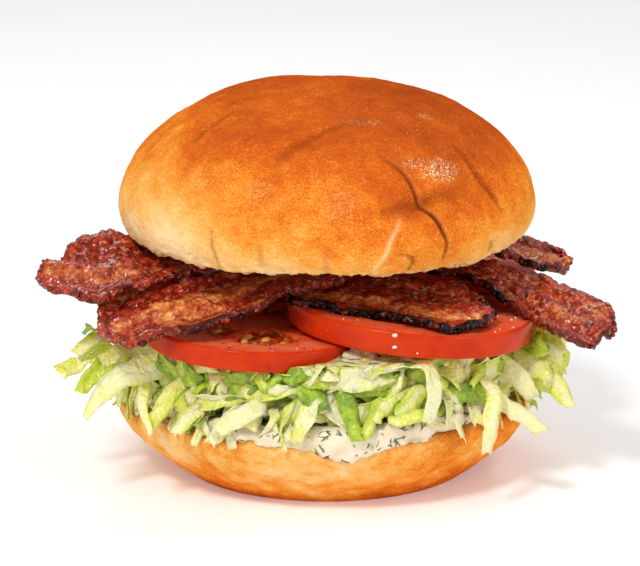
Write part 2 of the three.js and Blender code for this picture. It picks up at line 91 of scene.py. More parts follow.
# Bacon strips, each a sheet between its front edge and its rear edge. Both edges run from
# the outer end inwards. tip: how far the outer end stands out between the two edges. fold:
# height of the folds along the strip. scorch: how burnt its edges are. fat: middle, half
# width and strength of each band of fat across the strip.
STRIP_THICKNESS = 2.1
STRIPS = {
    "left_back": dict(
        front=[(-75.5, -36, 54.9), (-62, -37.5, 54.9), (-50, -35, 57.2), (-38, -28, 60.3),
               (-8, -17, 62.2), (18, -8, 62.7)],
        rear=[(-68, -13, 66), (-57.5, -7.5, 65.8), (-48, -2, 62.6), (-38, 5, 62.5),
              (-12, 16, 62.7), (14, 25, 62.7)],
        tip=(0, 4, 3, 0, 0), fold=(1.2, 1.2, 0.6, 0.2, 0, 0), ruffle=0.9, scorch=0.15, seed=1,
        fat=[(0.34, 0.09, 0.75), (0.72, 0.06, 0.6)],
    ),
    "left_front": dict(
        front=[(-58, -50.5, 45.3), (-46, -50.3, 47.3), (-33, -49.3, 49.6), (-19, -43, 53.8),
               (-8, -36.5, 57), (4.5, -33.5, 58.4)],
        rear=[(-60, -26, 54), (-46, -23, 56.5), (-33, -20, 58), (-20, -15.5, 58.5),
              (-8, -12, 58.9), (4, -12, 58.9)],
        tip=(0, 1, 0, 1.5, 0), fold=(0.8, 0.8, 0.8, 0.4, 0, 0), ruffle=0.7, scorch=0.35, seed=2,
        fat=[(0.45, 0.19, 1.0), (0.80, 0.06, 0.7), (0.12, 0.05, 0.8)],
    ),
    "middle": dict(
        front=[(42, -42.5, 49.9), (34.5, -50, 50.1), (25, -48.5, 50.9), (16, -42, 51.7),
               (4, -39.5, 52.9), (-11, -34, 54.1)],
        rear=[(41, -26.5, 53.4), (34.5, -19.5, 55.4), (24, -16.5, 55.9), (13, -14.5, 56.2),
              (0, -13.5, 56.1), (-12, -12, 55.6)],
        tip=(0, 2, 3, 1, -1), fold=(0.6, 0.6, 0.6, 0.4, 0.2, 0), ruffle=0.5, scorch=0.9, seed=3,
        fat=[(0.34, 0.1, 1.0), (0.7, 0.05, 0.6)],
    ),
    "right_front": dict(
        front=[(69, -40, 42.4), (60.5, -38.5, 45.7), (51, -25.5, 49.7), (38, -14, 55.2),
               (20, -1, 57.4), (-8, 19, 57.1)],
        rear=[(78.3, -20.5, 46.2), (68.5, -12, 51), (58.3, -5.3, 54.1), (45, 1.5, 55.6),
              (28, 15, 57.2), (0, 35, 57.1)],
        tip=(0, 0, 1.5, 2, 0), fold=(0.9, 0.9, 0.5, 0, 0, 0), ruffle=0.8, scorch=0.55, seed=4,
        fat=[(0.33, 0.08, 0.6), (0.74, 0.07, 0.4)],
    ),
    "right_back": dict(
        front=[(64.5, 2, 52.3), (56, 1.2, 55.2), (46, 2.5, 59.4), (30, 8, 60.2),
               (8, 15, 60.1), (-28, 30, 59)],
        rear=[(64.5, 16.5, 56.6), (57, 19.5, 59.4), (47, 23, 60.4), (32, 29, 60.3),
              (13, 36, 60), (-20, 50, 57.5)],
        tip=(0, 3, 4, 3, 0), fold=(0.7, 0.5, 0.1, 0, 0, 0.4), ruffle=0.6, scorch=0.4, seed=5,
        fat=[(0.3, 0.08, 0.8), (0.66, 0.08, 0.9)],
    ),
}

# ---------------------------------------------------------------- numbers and noise

# Whole numbers that mix the bits of a cell corner's place and seed into a random value.
CORNER_FACTORS = (73856093, 19349663, 83492791)
SEED_FACTOR = 7919
SEED_START = 101
MIXERS = (1274126177, 40503)
ALL_BITS = 0xFFFFFFFF

# How far apart the seeds of a noise's octaves are.
OCTAVE_SEEDS = 17


def lattice(ix, iy, iz, seed):
    """A fixed random value from -1 to 1 for each cell corner."""
    mixed = seed * SEED_FACTOR + SEED_START
    for index, factor in zip((ix, iy, iz), CORNER_FACTORS):
        mixed = mixed ^ (index * factor)
    mixed = ((mixed & ALL_BITS) ^ ((mixed & ALL_BITS) >> 13)) * MIXERS[0] & ALL_BITS
    mixed = (mixed ^ (mixed >> 16)) * MIXERS[1] & ALL_BITS
    mixed = mixed ^ (mixed >> 15)
    return (mixed & ALL_BITS) / (0.5 * ALL_BITS) - 1


def stacked(*values):
    """The values side by side, as the last axis of one array."""
    return np.stack(np.broadcast_arrays(*values), -1)


def lengths_of(vectors):
    """How long the vectors are."""
    return np.linalg.norm(vectors, axis=-1)


def noise(points, size, seed=0):
    """Smooth noise from -1 to 1, with bumps about as wide as size."""
    place = np.asarray(points, float) / size
    cell = np.floor(place).astype(np.int64)
    share = place - cell
    share = share * share * (3 - 2 * share)
    total = np.zeros(place.shape[:-1])
    for dx in (0, 1):
        for dy in (0, 1):
            for dz in (0, 1):
                weight = np.ones_like(total)
                for axis, step in enumerate((dx, dy, dz)):
                    weight = weight * (share[..., axis] if step else 1 - share[..., axis])
                corner = lattice(cell[..., 0] + dx, cell[..., 1] + dy, cell[..., 2] + dz, seed)
                total += weight * corner
    return total


def fractal(points, size, seed=0, octaves=3):
    """Noise with finer noise on it."""
    size = np.asarray(size, float)
    return sum(noise(points, size / 2**k, seed + OCTAVE_SEEDS * k) / 2**k for k in range(octaves))


def layered(points, layers, start=0):
    """The sum of several noises: the depth, the size, the seed and the octaves of each."""
    return sum((depth * fractal(points, *rest) for depth, *rest in layers), start)


def line_noise(values, size, seed):
    """Smooth noise along one number."""
    return noise(stacked(values, 0.5, 0.5), (size, 1, 1), seed)


def smooth_step(low, high, values):
    """0 at low and 1 at high, with a smooth change between them."""
    share = np.clip((values - low) / (high - low), 0, 1)
    return share * share * (3 - 2 * share)


def bell(offset, width):
    """1 at no offset, falling off smoothly to both sides."""
    return np.exp(-((offset / width) ** 2))


def read_curve(values, curve):
    """The values read off a curve of (position, value) corners."""
    return np.interp(values, *zip(*curve))


def along(values, t):
    """A smooth value between evenly spaced ones, with t from 0 to 1 along the whole list."""
    values = np.asarray(values, float)
    last = len(values) - 1
    place = np.clip(np.asarray(t, float), 0, 1) * last
    i = np.minimum(np.floor(place).astype(int), last - 1)
    f = place - i
    b, c = values[i], values[i + 1]
    a = np.where(_like(i > 0, b), values[np.maximum(i - 1, 0)], 2 * b - c)
    d = np.where(_like(i + 2 <= last, b), values[np.minimum(i + 2, last)], 2 * c - b)
    f = _like(f, b)
    return b + 0.5 * f * (c - a + f * (2 * a - 5 * b + 4 * c - d + f * (3 * (b - c) + d - a)))


def _like(values, pattern):
    """values with the trailing axes that pattern has."""
    return np.reshape(values, np.shape(values) + (1,) * (pattern.ndim - np.ndim(values)))


def unit(vectors):
    """The vectors at a length of 1."""
    return vectors / np.maximum(np.linalg.norm(vectors, axis=-1, keepdims=True), 1e-9)


def swell(angle, seed):
    """A gentle uneven swell round a circle, from -1 to 1."""
    return (0.5 * np.sin(2 * angle + 1.7 * seed) + 0.3 * np.sin(3 * angle + 2.9 * seed)
            + 0.2 * np.sin(5 * angle + 0.6 * seed))


def grid_normals(grid):
    """Unit normals of a grid of points, by its rows and columns."""
    return unit(np.cross(np.gradient(grid, axis=0), np.gradient(grid, axis=1)))


def ring_angles(sides):
    """Evenly spaced angles round a circle, as one row."""
    return np.arange(sides)[None, :] * 2 * math.pi / sides


def polar(angle, radius, height):
    """Points at an angle round the middle, a distance from it and a height."""
    return stacked(radius * np.cos(angle), radius * np.sin(angle), height)


def level_way(angle):
    """The level direction at one angle."""
    return np.array([math.cos(angle), math.sin(angle), 0])


# ---------------------------------------------------------------- meshes


def grid_faces(rows, columns, closed=False, start=0):
    """Quads between neighbouring points of a grid that is numbered row by row."""
    i = np.arange(rows - 1)[:, None] * columns + start
    j = np.arange(columns if closed else columns - 1)[None, :]
    k = (j + 1) % columns
    return stacked(i + j, i + k, i + columns + k, i + columns + j).reshape(-1, 4)


def add_object(name, data):
    """A new object in the scene."""
    made = bpy.data.objects.new(name, data)
    bpy.context.scene.collection.objects.link(made)
    return made


def make_mesh(name, points, faces, material, attributes=None, node=None, slot=None):
    """A smooth mesh object that rides on the sandwich. Points are in millimetres."""
    mesh = bpy.data.meshes.new(name)
    face_list = [list(map(int, face)) for face in faces]
    mesh.from_pydata((np.asarray(points) * MM).tolist(), [], face_list)
    mesh.polygons.foreach_set("use_smooth", [True] * len(mesh.polygons))
    for key, values in (attributes or {}).items():
        layer = mesh.attributes.new(key, "FLOAT", "POINT")
        layer.data.foreach_set("value", np.asarray(values, np.float32).ravel())
    mesh.update()
    piece = add_object(name, mesh)
    piece.data.materials.append(material)
    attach(piece, "root")
    if node:
        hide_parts(node)
    return piece


def make_lathe(name, first, grid, last, material, marks, node, slot):
    """A closed body of rings between two end points.

    marks holds, for each attribute, its value at the first end, on the rings and at the last.
    """
    points = np.concatenate([[first], grid.reshape(-1, 3), [last]])
    attributes = {}
    for key, (at_first, values, at_last) in marks.items():
        on_rings = np.broadcast_to(values, grid.shape[:-1]).ravel()
        attributes[key] = np.concatenate([[at_first], on_rings, [at_last]])
    faces = lathe_faces(*grid.shape[:-1])
    make_mesh(name, points, faces, material, attributes, node=node, slot=slot)


def on_parts(*parts):
    """The values on several grids of rings, from (grid, its value or its values) pairs."""
    return np.concatenate([np.broadcast_to(values, grid.shape[:-1]) for grid, values in parts])


def disc(middle, edge, rows, inwards=False):
    """Rings of a flat face from its middle out to its edge, or inwards from the edge."""
    shares = np.linspace(1, 0, rows + 1) if inwards else np.linspace(0, 1, rows + 1)
    return middle + shares[1:-1, None, None] * (edge - middle)


class Heap:
    """Many small closed meshes gathered into one."""

    def __init__(self):
        self.points = []
        self.faces = []
        self.attributes = {}
        self.count = 0

    def add(self, points, faces, **attributes):
        """Adds one closed mesh, with a value or a list of values for each attribute."""
        points = np.asarray(points).reshape(-1, 3)
        self.faces += [[int(v) + self.count for v in face] for face in faces]
        self.points.append(points)
        for key, value in attributes.items():
            values = np.broadcast_to(np.asarray(value, float).ravel(), (len(points),))
            self.attributes.setdefault(key, []).append(values)
        self.count += len(points)

    def add_sheet(self, grid, thick, **attributes):
        """Adds a grid of points as a thin closed body; thick may differ from point to point."""
        half = grid_normals(grid) * (0.5 * thick * np.ones(grid.shape[:2]))[..., None]
        doubled = {key: np.tile(np.broadcast_to(value, grid.shape[:2]).ravel(), 2)
                   for key, value in attributes.items()}
        self.add(np.concatenate([(grid + half).reshape(-1, 3), (grid - half).reshape(-1, 3)]),
                 sheet_faces(*grid.shape[:2]), **doubled)

    def make(self, name, material, **extra):
        """Makes one object of all that was added."""
        attributes = {key: np.concatenate(parts) for key, parts in self.attributes.items()}
        points = np.concatenate(self.points)
        return make_mesh(name, points, self.faces, material, attributes, **extra)


def lathe_faces(rings, sides):
    """Faces of a closed body of rings, with one end point before and one after them."""
    faces = grid_faces(rings, sides, closed=True, start=1).tolist()
    last = 1 + (rings - 1) * sides
    end = 1 + rings * sides
    for i in range(sides):
        k = (i + 1) % sides
        faces.append([0, 1 + k, 1 + i])
        faces.append([end, last + i, last + k])
    return faces


def sheet_faces(rows, columns):
    """Faces of a closed thin body: an upper grid, a lower grid and the wall between."""
    half = rows * columns
    upper = grid_faces(rows, columns)[:, ::-1]
    lower = grid_faces(rows, columns, start=half)
    wall = []
    for i in range(rows - 1):
        a = i * columns
        b = a + columns
        wall.append([b, a, half + a, half + b])
        a += columns - 1
        b += columns - 1
        wall.append([a, b, half + b, half + a])
    for j in range(columns - 1):
        wall.append([j, j + 1, half + j + 1, half + j])
        a = (rows - 1) * columns + j
        wall.append([a + 1, a, half + a, half + a + 1])
    return upper.tolist() + lower.tolist() + wall


def ball(sides, rings):
    """Points and faces of a unit ball."""
    turn = np.linspace(-0.5 * math.pi, 0.5 * math.pi, rings + 2)[1:-1, None]
    body = polar(ring_angles(sides), np.cos(turn), np.sin(turn)).reshape(-1, 3)
    return np.concatenate([[(0, 0, -1)], body, [(0, 0, 1)]]), lathe_faces(rings, sides)


def stretched(points, way, along_way, across, upwards):
    """Points of a ball at its half sizes along a level direction, across it and upwards."""
    side = np.array([-way[1], way[0], 0])
    up = np.array([0, 0, 1])
    level = points[:, :1] * along_way * way + points[:, 1:2] * across * side
    return level + points[:, 2:] * upwards * up


def pebble(points, size, low, high, rng):
    """Points of a ball at a random uneven size and turn."""
    shaped = points * size * rng.uniform(low, high, 3)
    turned, _ = np.linalg.qr(rng.normal(size=(3, 3)))
    return shaped @ turned.T


# ---------------------------------------------------------------- materials


class Shader:
    """Builds one procedural material, a node at a time. Sizes are in millimetres."""

    def __init__(self, name, **settings):
        self.material = bpy.data.materials.new(name)
        self.material.use_nodes = True
        self.tree = self.material.node_tree
        self.surface = self.tree.nodes["Principled BSDF"]
        self.place = self.tree.nodes.new("ShaderNodeTexCoord").outputs["Object"]
        for key, value in settings.items():
            self.set(key.replace("_", " "), value)

    def set(self, socket, value):
        """Sets an input of the surface to a number, a colour or what a node gives."""
        self.plug(self.surface.inputs[socket], value)

    def plug(self, socket, value):
        """Gives a socket its value, or a link where the value comes from a node."""
        if isinstance(value, bpy.types.NodeSocket):
            self.tree.links.new(value, socket)
        elif isinstance(value, tuple) and len(value) == 3 and socket.type == "RGBA":
            socket.default_value = (*value, 1)
        else:
            socket.default_value = value

    def attribute(self, name):
        """The mesh attribute of this name."""
        node = self.tree.nodes.new("ShaderNodeAttribute")
        node.attribute_name = name
        return node.outputs["Fac"]

    def noise(self, size, detail, stretch=None, distortion=0.0):
        """Noise from 0 to 1. stretch makes it longer along an axis."""
        node = self.tree.nodes.new("ShaderNodeTexNoise")
        place = self.place
        if stretch:
            mapping = self.tree.nodes.new("ShaderNodeMapping")
            self.plug(mapping.inputs["Vector"], place)
            mapping.inputs["Scale"].default_value = [1 / s for s in stretch]
            place = mapping.outputs["Vector"]
        self.plug(node.inputs["Vector"], place)
        node.inputs["Scale"].default_value = 1 / (size * MM)
        node.inputs["Detail"].default_value = detail
        node.inputs["Distortion"].default_value = distortion
        return node.outputs["Fac"]

    def cells(self, size):
        """Distance to the nearest of scattered points, in cell widths."""
        node = self.tree.nodes.new("ShaderNodeTexVoronoi")
        self.plug(node.inputs["Vector"], self.place)
        node.inputs["Scale"].default_value = 1 / (size * MM)
        return node.outputs["Distance"]

    def math(self, operation, a, b):
        """The result of one operation on two values."""
        node = self.tree.nodes.new("ShaderNodeMath")
        node.operation = operation
        self.plug(node.inputs[0], a)
        self.plug(node.inputs[1], b)
        return node.outputs[0]

    def times(self, a, b):
        """The product of two values."""
        return self.math("MULTIPLY", a, b)

    def total(self, *values):
        """The sum of the values."""
        result = values[0]
        for value in values[1:]:
            result = self.math("ADD", result, value)
        return result

    def centred(self, value, amount):
        """A value from 0 to 1 as one from -amount / 2 to amount / 2."""
        return self.times(self.math("SUBTRACT", value, 0.5), amount)

    def spread(self, value, low, high, to_low=0.0, to_high=1.0):
        """value between low and high, mapped between to_low and to_high and kept there."""
        node = self.tree.nodes.new("ShaderNodeMapRange")
        for key, number in (("Value", value), ("From Min", low), ("From Max", high),
                            ("To Min", to_low), ("To Max", to_high)):
            self.plug(node.inputs[key], number)
        return node.outputs["Result"]

    def ramp(self, value, *stops):
        """Colours along a value, from (position, colour) pairs."""
        node = self.tree.nodes.new("ShaderNodeValToRGB")
        self.plug(node.inputs["Fac"], value)
        while len(node.color_ramp.elements) < len(stops):
            node.color_ramp.elements.new(0.5)
        for element, (position, colour) in zip(node.color_ramp.elements, stops):
            element.position = position
            element.color = (*colour, 1)
        return node.outputs["Color"]

    def mix(self, share, a, b):
        """Colour a where share is 0 and colour b where it is 1."""
        node = self.tree.nodes.new("ShaderNodeMix")
        node.data_type = "RGBA"
        for key, value in (("Factor", share), ("A", a), ("B", b)):
            self.plug(node.inputs[key], value)
        return node.outputs["Result"]

    def bump(self, *layers):
        """Bumps from (height from 0 to 1, depth in millimetres) pairs."""
        normal = None
        for height, depth in layers:
            node = self.tree.nodes.new("ShaderNodeBump")
            node.inputs["Strength"].default_value = 1.0
            node.inputs["Distance"].default_value = depth * MM
            self.plug(node.inputs["Height"], height)
            if normal is not None:
                self.plug(node.inputs["Normal"], normal)
            normal = node.outputs["Normal"]
        self.set("Normal", normal)
        self.set("Coat Normal", normal)


# Colours of baked crust, from pale dough to well browned.
CRUST_STOPS = [
    (0.00, (0.97, 0.68, 0.34)),
    (0.15, (0.94, 0.52, 0.155)),
    (0.30, (0.90, 0.345, 0.050)),
    (0.50, (0.80, 0.195, 0.017)),
    (0.70, (0.62, 0.112, 0.013)),
    (1.00, (0.42, 0.066, 0.011)),
]
BLISTER = (0.94, 0.46, 0.11)
FAINT_FLECK = (0.98, 0.36, 0.05)
# Painted highlight: the clearest flecks take this near-white colour to stand in for sparkles of
# light.
PAINTED_SPARKLE_FLECK = (1.0, 0.74, 0.42)
PALE_FOLD = (0.92, 0.58, 0.24)
# Painted shade: the near-black colour given to the grooves of creases and cracks.
CREASE_SHADE_COLOUR = (0.13, 0.018, 0.004)
CRUMB_PORE = (0.66, 0.36, 0.12)
CRUMB = (0.90, 0.62, 0.28)

# Roughness of the two crusts.
CROWN_ROUGHNESS = 0.42
HEEL_ROUGHNESS = 0.62

TOMATO_CORE = (0.86, 0.24, 0.11)
# Painted highlight: the colour of the light spots that stand in for glints on the wet bacon.
BACON_PAINTED_GLINT = (1.0, 0.60, 0.30)
BACON_SINGED = (0.11, 0.008, 0.003)
BACON_CHAR = (0.008, 0.003, 0.002)
PEPPER = (0.035, 0.018, 0.008)
SALT = (0.72, 0.66, 0.56)
FLOOR_GREY = (0.90, 0.90, 0.90)
FLOOR_WHITE = (0.91, 0.91, 0.91)


def crust_material(name, roughness):
    """Baked crust: toast browns it, crumb shows the cut inside, crease paints shade into folds,
    pale marks pale folds and painted lip highlights, flecks add specks and painted sparkle.
    """
    s = Shader(name, Specular_IOR_Level=0.0)
    toast = s.attribute("toast")
    crumb = s.attribute("crumb")
    fleck_and_sparkle_share = s.attribute("flecks_and_sparkle")
    streaks = s.noise(0.8, 3, stretch=(3, 3, 1))
    uneven = s.total(s.centred(s.noise(5.0, 4), 0.50), s.centred(s.noise(0.45, 3), 0.85),
                     s.centred(streaks, 0.24))
    uneven = s.times(uneven, s.spread(toast, 0.12, 0.45, 0.35, 1.0))
    colour = s.ramp(s.total(toast, uneven), *CRUST_STOPS)
    blisters = s.times(s.spread(s.cells(1.3), 0.26, 0.12), s.spread(s.noise(6.0, 2), 0.50, 0.66))
    colour = s.mix(s.times(blisters, 0.6), colour, BLISTER)
    flecks_and_sparkle = s.times(fleck_and_sparkle_share, s.spread(s.noise(0.8, 2, distortion=2.0), 0.54, 0.585))
    # Light specks of the crust, where the share is low, and painted sparkle standing in for
    # highlights, where it is high.
    colour = s.mix(flecks_and_sparkle, colour, s.mix(fleck_and_sparkle_share, FAINT_FLECK, PAINTED_SPARKLE_FLECK))
    colour = s.mix(s.attribute("pale"), colour, PALE_FOLD)
    # Painted shade: creases are darkened where their grooves lie in shade.
    colour = s.mix(s.attribute("crease"), colour, CREASE_SHADE_COLOUR)
    inside = s.mix(s.spread(s.noise(1.2, 3), 0.42, 0.6), CRUMB_PORE, CRUMB)
    s.set("Base Color", s.mix(crumb, colour, inside))
    s.set("Roughness", s.spread(s.noise(1.6, 3), 0.3, 0.7, roughness - 0.08, roughness + 0.12))
    pitting = s.times(s.noise(1.1, 3), s.total(crumb, 0.15))
    wrinkles = s.times(s.noise(1.3, 2, distortion=1.5), fleck_and_sparkle_share)
    s.bump((s.noise(0.5, 3), 0.34), (s.noise(1.5, 2), 0.34), (s.noise(3.2, 2), 0.5),
           (streaks, 0.16), (blisters, 0.12), (pitting, 1.0), (wrinkles, 0.6))
    return s.material


def two_tone(name, size, detail, low, high, **settings):
    """A shader whose noise goes from one (position, colour) stop to another."""
    s = Shader(name, **settings)
    s.set("Base Color", s.ramp(s.noise(size, detail), low, high))
    return s


def sauce_material():
    """Creamy sauce, a little translucent."""
    s = two_tone("sauce", 3.5, 3, (0.35, (0.80, 0.66, 0.45)), (0.62, (0.87, 0.77, 0.57)),
                 Roughness=0.3, Specular_IOR_Level=0.35, Subsurface_Weight=0.15,
                 Subsurface_Radius=(1.0, 0.8, 0.5), Subsurface_Scale=1.0 * MM)
    s.bump((s.noise(1.1, 2), 0.12))
    return s.material


def herb_material():
    """Chopped dill."""
    return two_tone("herb", 2.0, 1, (0.35, (0.045, 0.070, 0.028)), (0.65, (0.13, 0.17, 0.07)),
                    Roughness=0.45).material


def lettuce_material():
    """Crisp leaf: green is the leafy part and 0 the pale rib."""
    s = Shader("lettuce", Roughness=0.35, Specular_IOR_Level=0.3, Coat_Weight=0.45,
               Coat_Roughness=0.16, Subsurface_Weight=0.5, Subsurface_Radius=(1.2, 1.2, 0.4),
               Subsurface_Scale=1.2 * MM)
    patch = s.centred(s.noise(3.4, 3), 0.75)
    fine = s.centred(s.noise(1.0, 4), 0.55)
    s.set("Base Color", s.ramp(
        s.total(s.attribute("green"), patch, fine),
        (0.02, (0.93, 0.88, 0.44)),
        (0.18, (0.86, 0.84, 0.23)),
        (0.38, (0.66, 0.74, 0.09)),
        (0.62, (0.43, 0.60, 0.036)),
        (0.90, (0.18, 0.31, 0.014)),
    ))
    s.bump((s.noise(1.7, 2), 0.9), (s.noise(0.6, 2), 0.12))
    return s.material


def tomato_material():
    """Cut tomato: skin is the outside, gel the seed chambers and core the paler flesh."""
    s = Shader("tomato", Roughness=0.3, Specular_IOR_Level=0.04, Coat_Roughness=0.2,
               Subsurface_Weight=0.35, Subsurface_Radius=(1.6, 0.4, 0.2),
               Subsurface_Scale=1.5 * MM)
    flesh = s.ramp(s.noise(2.2, 4), (0.3, (0.74, 0.048, 0.012)), (0.7, (0.88, 0.12, 0.035)))
    jelly = s.ramp(s.noise(1.7, 3), (0.35, (0.26, 0.012, 0.002)), (0.52, (0.52, 0.045, 0.004)),
                   (0.68, (0.92, 0.34, 0.05)))
    peel = s.ramp(s.noise(7.0, 2), (0.3, (0.50, 0.022, 0.002)), (0.7, (0.62, 0.042, 0.003)))
    gel = s.attribute("gel")
    skin = s.attribute("skin")
    colour = s.mix(s.attribute("core"), flesh, TOMATO_CORE)
    colour = s.mix(gel, colour, jelly)
    s.set("Base Color", s.mix(skin, colour, peel))
    s.set("Coat Weight", s.math("MAXIMUM", s.times(gel, 0.5), s.times(skin, 0.18)))
    cut = s.math("SUBTRACT", 1.0, skin)
    s.bump((s.times(s.noise(0.9, 3), cut), 0.3))
    return s.material


def seed_material():
    """Tomato seeds."""
    return two_tone("seed", 1.5, 1, (0.3, (0.62, 0.20, 0.025)), (0.7, (0.84, 0.42, 0.08)),
                    Roughness=0.22).material


def bacon_material():
    """Fried bacon: fat marks the pale bands, char the burnt edges, and painted glints stand in for
    wet highlights.
    """
    s = Shader("bacon", Specular_IOR_Level=0.05, Coat_IOR=1.5, Coat_Roughness=0.12)
    grain = s.total(s.times(s.noise(2.8, 2, distortion=0.8), 0.7), s.times(s.noise(0.8, 2), 0.3))
    meat = s.ramp(grain, (0.36, (0.09, 0.003, 0.002)), (0.50, (0.31, 0.015, 0.005)),
                  (0.64, (0.56, 0.062, 0.018)))
    fat = s.ramp(grain, (0.36, (0.42, 0.048, 0.010)), (0.50, (0.66, 0.170, 0.034)),
                 (0.64, (0.90, 0.42, 0.13)))
    blotches = s.centred(s.noise(3.0, 3), 1.4)
    colour = s.mix(s.spread(s.total(s.attribute("fat"), blotches), 0.25, 1.0), meat, fat)
    burnt = s.total(s.attribute("char"), s.times(blotches, 0.6))
    # Painted highlights: small light spots in the colour stand in for glints of light on the wet
    # bacon.
    painted_glints = s.times(s.spread(s.noise(1.1, 0, distortion=0.8), 0.61, 0.67),
                     s.spread(s.noise(6.0, 1), 0.40, 0.56, 0.04, 0.34))
    colour = s.mix(painted_glints, colour, BACON_PAINTED_GLINT)
    colour = s.mix(s.spread(burnt, 0.3, 0.7, 0.0, 0.9), colour, BACON_SINGED)
    colour = s.mix(s.spread(burnt, 0.62, 0.95), colour, BACON_CHAR)
    s.set("Base Color", colour)
    s.set("Roughness", s.spread(s.noise(1.3, 3), 0.3, 0.7, 0.4, 0.6))
    s.set("Coat Weight", s.spread(burnt, 0.3, 0.9, 0.85, 0.5))
    bubbles = s.math("SUBTRACT", 1.0, s.cells(1.3))
    s.bump((s.noise(2.2, 1), 0.85), (bubbles, 0.25))
    return s.material


def grain_material(name, colour, roughness):
    """Pepper or salt, of this colour and a lighter one."""
    lighter = tuple(min(1.0, 1.35 * c) for c in colour)
    return two_tone(name, 1.0, 1, (0.35, colour), (0.65, lighter), Roughness=roughness).material


# ---------------------------------------------------------------- the crown

CROWN_SIDES = 420
CROWN_ROWS = 150
CROWN_CUT_ROWS = 6
CRACK_ANGLE = math.radians(-60)
CRACK_TURN = math.radians(15)

# Relief of the crust and how its toast wanders: depth, size, seed and octaves of each noise.
CROWN_RELIEF = [(0.45, 13, 3, 3), (0.12, 3.2, 9, 3)]
CROWN_TOAST_NOISE = [(0.12, 22, 31, 3), (0.08, 8, 41, 3)]

# How toasted the crust is at each height, and what is added at each x. The added part is partly
# toast and partly painted light, which makes the far left and the far right paler, where light
# falls most.
CROWN_TOAST_BY_HEIGHT = [(64.7, 0.12), (67, 0.18), (73, 0.31), (84, 0.50), (96, 0.70),
                         (107.4, 0.80)]
CROWN_TOAST_AND_LIGHT_BY_X = [(-57, -0.24), (-40, -0.16), (-20, -0.05), (0, 0), (15, 0.10), (40, 0.10),
                    (50, -0.02), (57, -0.10)]

# Soft dents in the crust: the nearest point, its width and its depth.
DENTS = [
    ((24.6, -48.5, 84), 7, 1.3),
    ((34.5, -42, 84.5), 6, 0.9),
    ((42, -32.5, 86), 7, 1.0),
    ((-13, -43, 94.5), 7, 0.9),
    ((-4, -36, 99.5), 7, 1.1),
    ((-29, -18, 100.7), 8, 0.9),
    ((-33, 30, 91.5), 10, 1.1),
    ((22, 35, 96), 10, 1.0),
]

# Patches of the crust that are browner or, below zero, paler: the middle, its width and how much.
# They are partly toast and partly painted light and shade: paler where light falls at the sides,
# and browner beside the main crack, where shade falls in the fold.
TOAST_AND_LIGHT_PATCHES = [
    ((15, -48, 88), 9, 0.16),
    ((0, -52, 67), 16, 0.07),
    ((-2, -38, 98), 12, 0.06),
    ((30, -42, 84), 7, 0.08),
    ((-38, -37, 82), 12, -0.08),
    ((-52, -20, 78), 12, -0.05),
    ((50, -20, 84), 9, -0.14),
    ((-2, -55, 80), 8, -0.03),
]

# Patches of small light flecks on the crust. The clearest are painted sparkle, pale spots that
# stand in for highlights on a glossy wrinkled patch. The middle, half sizes along X, Y and Z, and
# how clear they are.
FLECK_AND_SPARKLE_PATCHES = [
    ((30, -40.5, 90.4), (8, 6, 2.9), 1.0),
    ((22.5, -42, 92.6), (3.5, 4, 1.6), 0.8),
    ((3, -54, 84), (6, 5, 6), 0.40),
    ((-17, -49, 87), (4, 5, 4), 0.45),
    ((26, -21, 101), (4, 2.5, 1), 0.8),
    ((9, -31, 101.4), (8, 2.5, 0.8), 0.5),
    ((-33, -38, 86), (8, 8, 6), 0.25),
]

# Folds and cracks in the crust. path: the x and z of its points, on the front (side -1) or
# the back (side 1). step: how far the crust on its left side stands over the other. Its shade
# value says how much painted shade darkens the groove, and pale how much it shows as a pale line.
CREASES = [
    dict(path=[(-15.3, 92.5), (-11, 96.1), (-5.8, 98.8), (4.6, 101.3), (16.5, 100.9)],
         side=-1, width=1.2, depth=0.5, step=0.9, painted_shade=0.4, pale=0),
    dict(path=[(12.5, 95), (20, 90.4), (24.6, 83.9), (28.3, 79.2), (31, 73.7), (30.5, 69.5),
               (29.3, 66.5)],
         side=-1, width=0.45, depth=1.1, step=0.9, painted_shade=1.0, pale=0),
    dict(path=[(12, 82.4), (18, 82.6), (24.6, 83.4), (29.1, 84.8), (37.5, 85.2)],
         side=-1, width=2.0, depth=1.5, step=0.4, painted_shade=0.45, pale=0),
    dict(path=[(33, 95.5), (38, 90.6), (42.5, 85), (45.6, 79.5), (46.3, 76)],
         side=-1, width=0.8, depth=0.9, step=0.9, painted_shade=0.6, pale=0),
    dict(path=[(-24.7, 103), (-29.1, 100.7), (-33.8, 97.6), (-37, 95)],
         side=-1, width=1.4, depth=0.8, step=0.6, painted_shade=0.45, pale=0),
    dict(path=[(19, 80.5), (17.6, 77), (15.2, 72), (12.6, 67.5), (11.6, 65.2)],
         side=-1, width=0.6, depth=-0.4, step=0.6, painted_shade=0, pale=0.75),
    dict(path=[(-30.4, 77), (-29.8, 72.5), (-28.5, 68), (-28, 65.5)],
         side=-1, width=0.6, depth=0.8, step=0.9, painted_shade=0.5, pale=0),
    dict(path=[(-17, 73), (-17.3, 70), (-16.5, 66)],
         side=-1, width=0.8, depth=0.6, step=0.5, painted_shade=0.25, pale=0.1),
    dict(path=[(0.4, 71.5), (-0.4, 68), (0.6, 65.2)],
         side=-1, width=0.8, depth=0.5, step=0.5, painted_shade=0.25, pale=0.2),
    dict(path=[(30, 101), (24, 94), (21, 86)],
         side=1, width=1.0, depth=0.7, step=0.8, painted_shade=0.5, pale=0),
    dict(path=[(-12, 98), (-22, 94), (-30, 87), (-33, 80)],
         side=1, width=0.8, depth=0.9, step=0.9, painted_shade=0.6, pale=0),
    dict(path=[(2, 76), (1, 70), (2.5, 65.2)],
         side=1, width=0.9, depth=-0.4, step=0.4, painted_shade=0, pale=0.8),
]

STEPS_PER_CORNER = 12


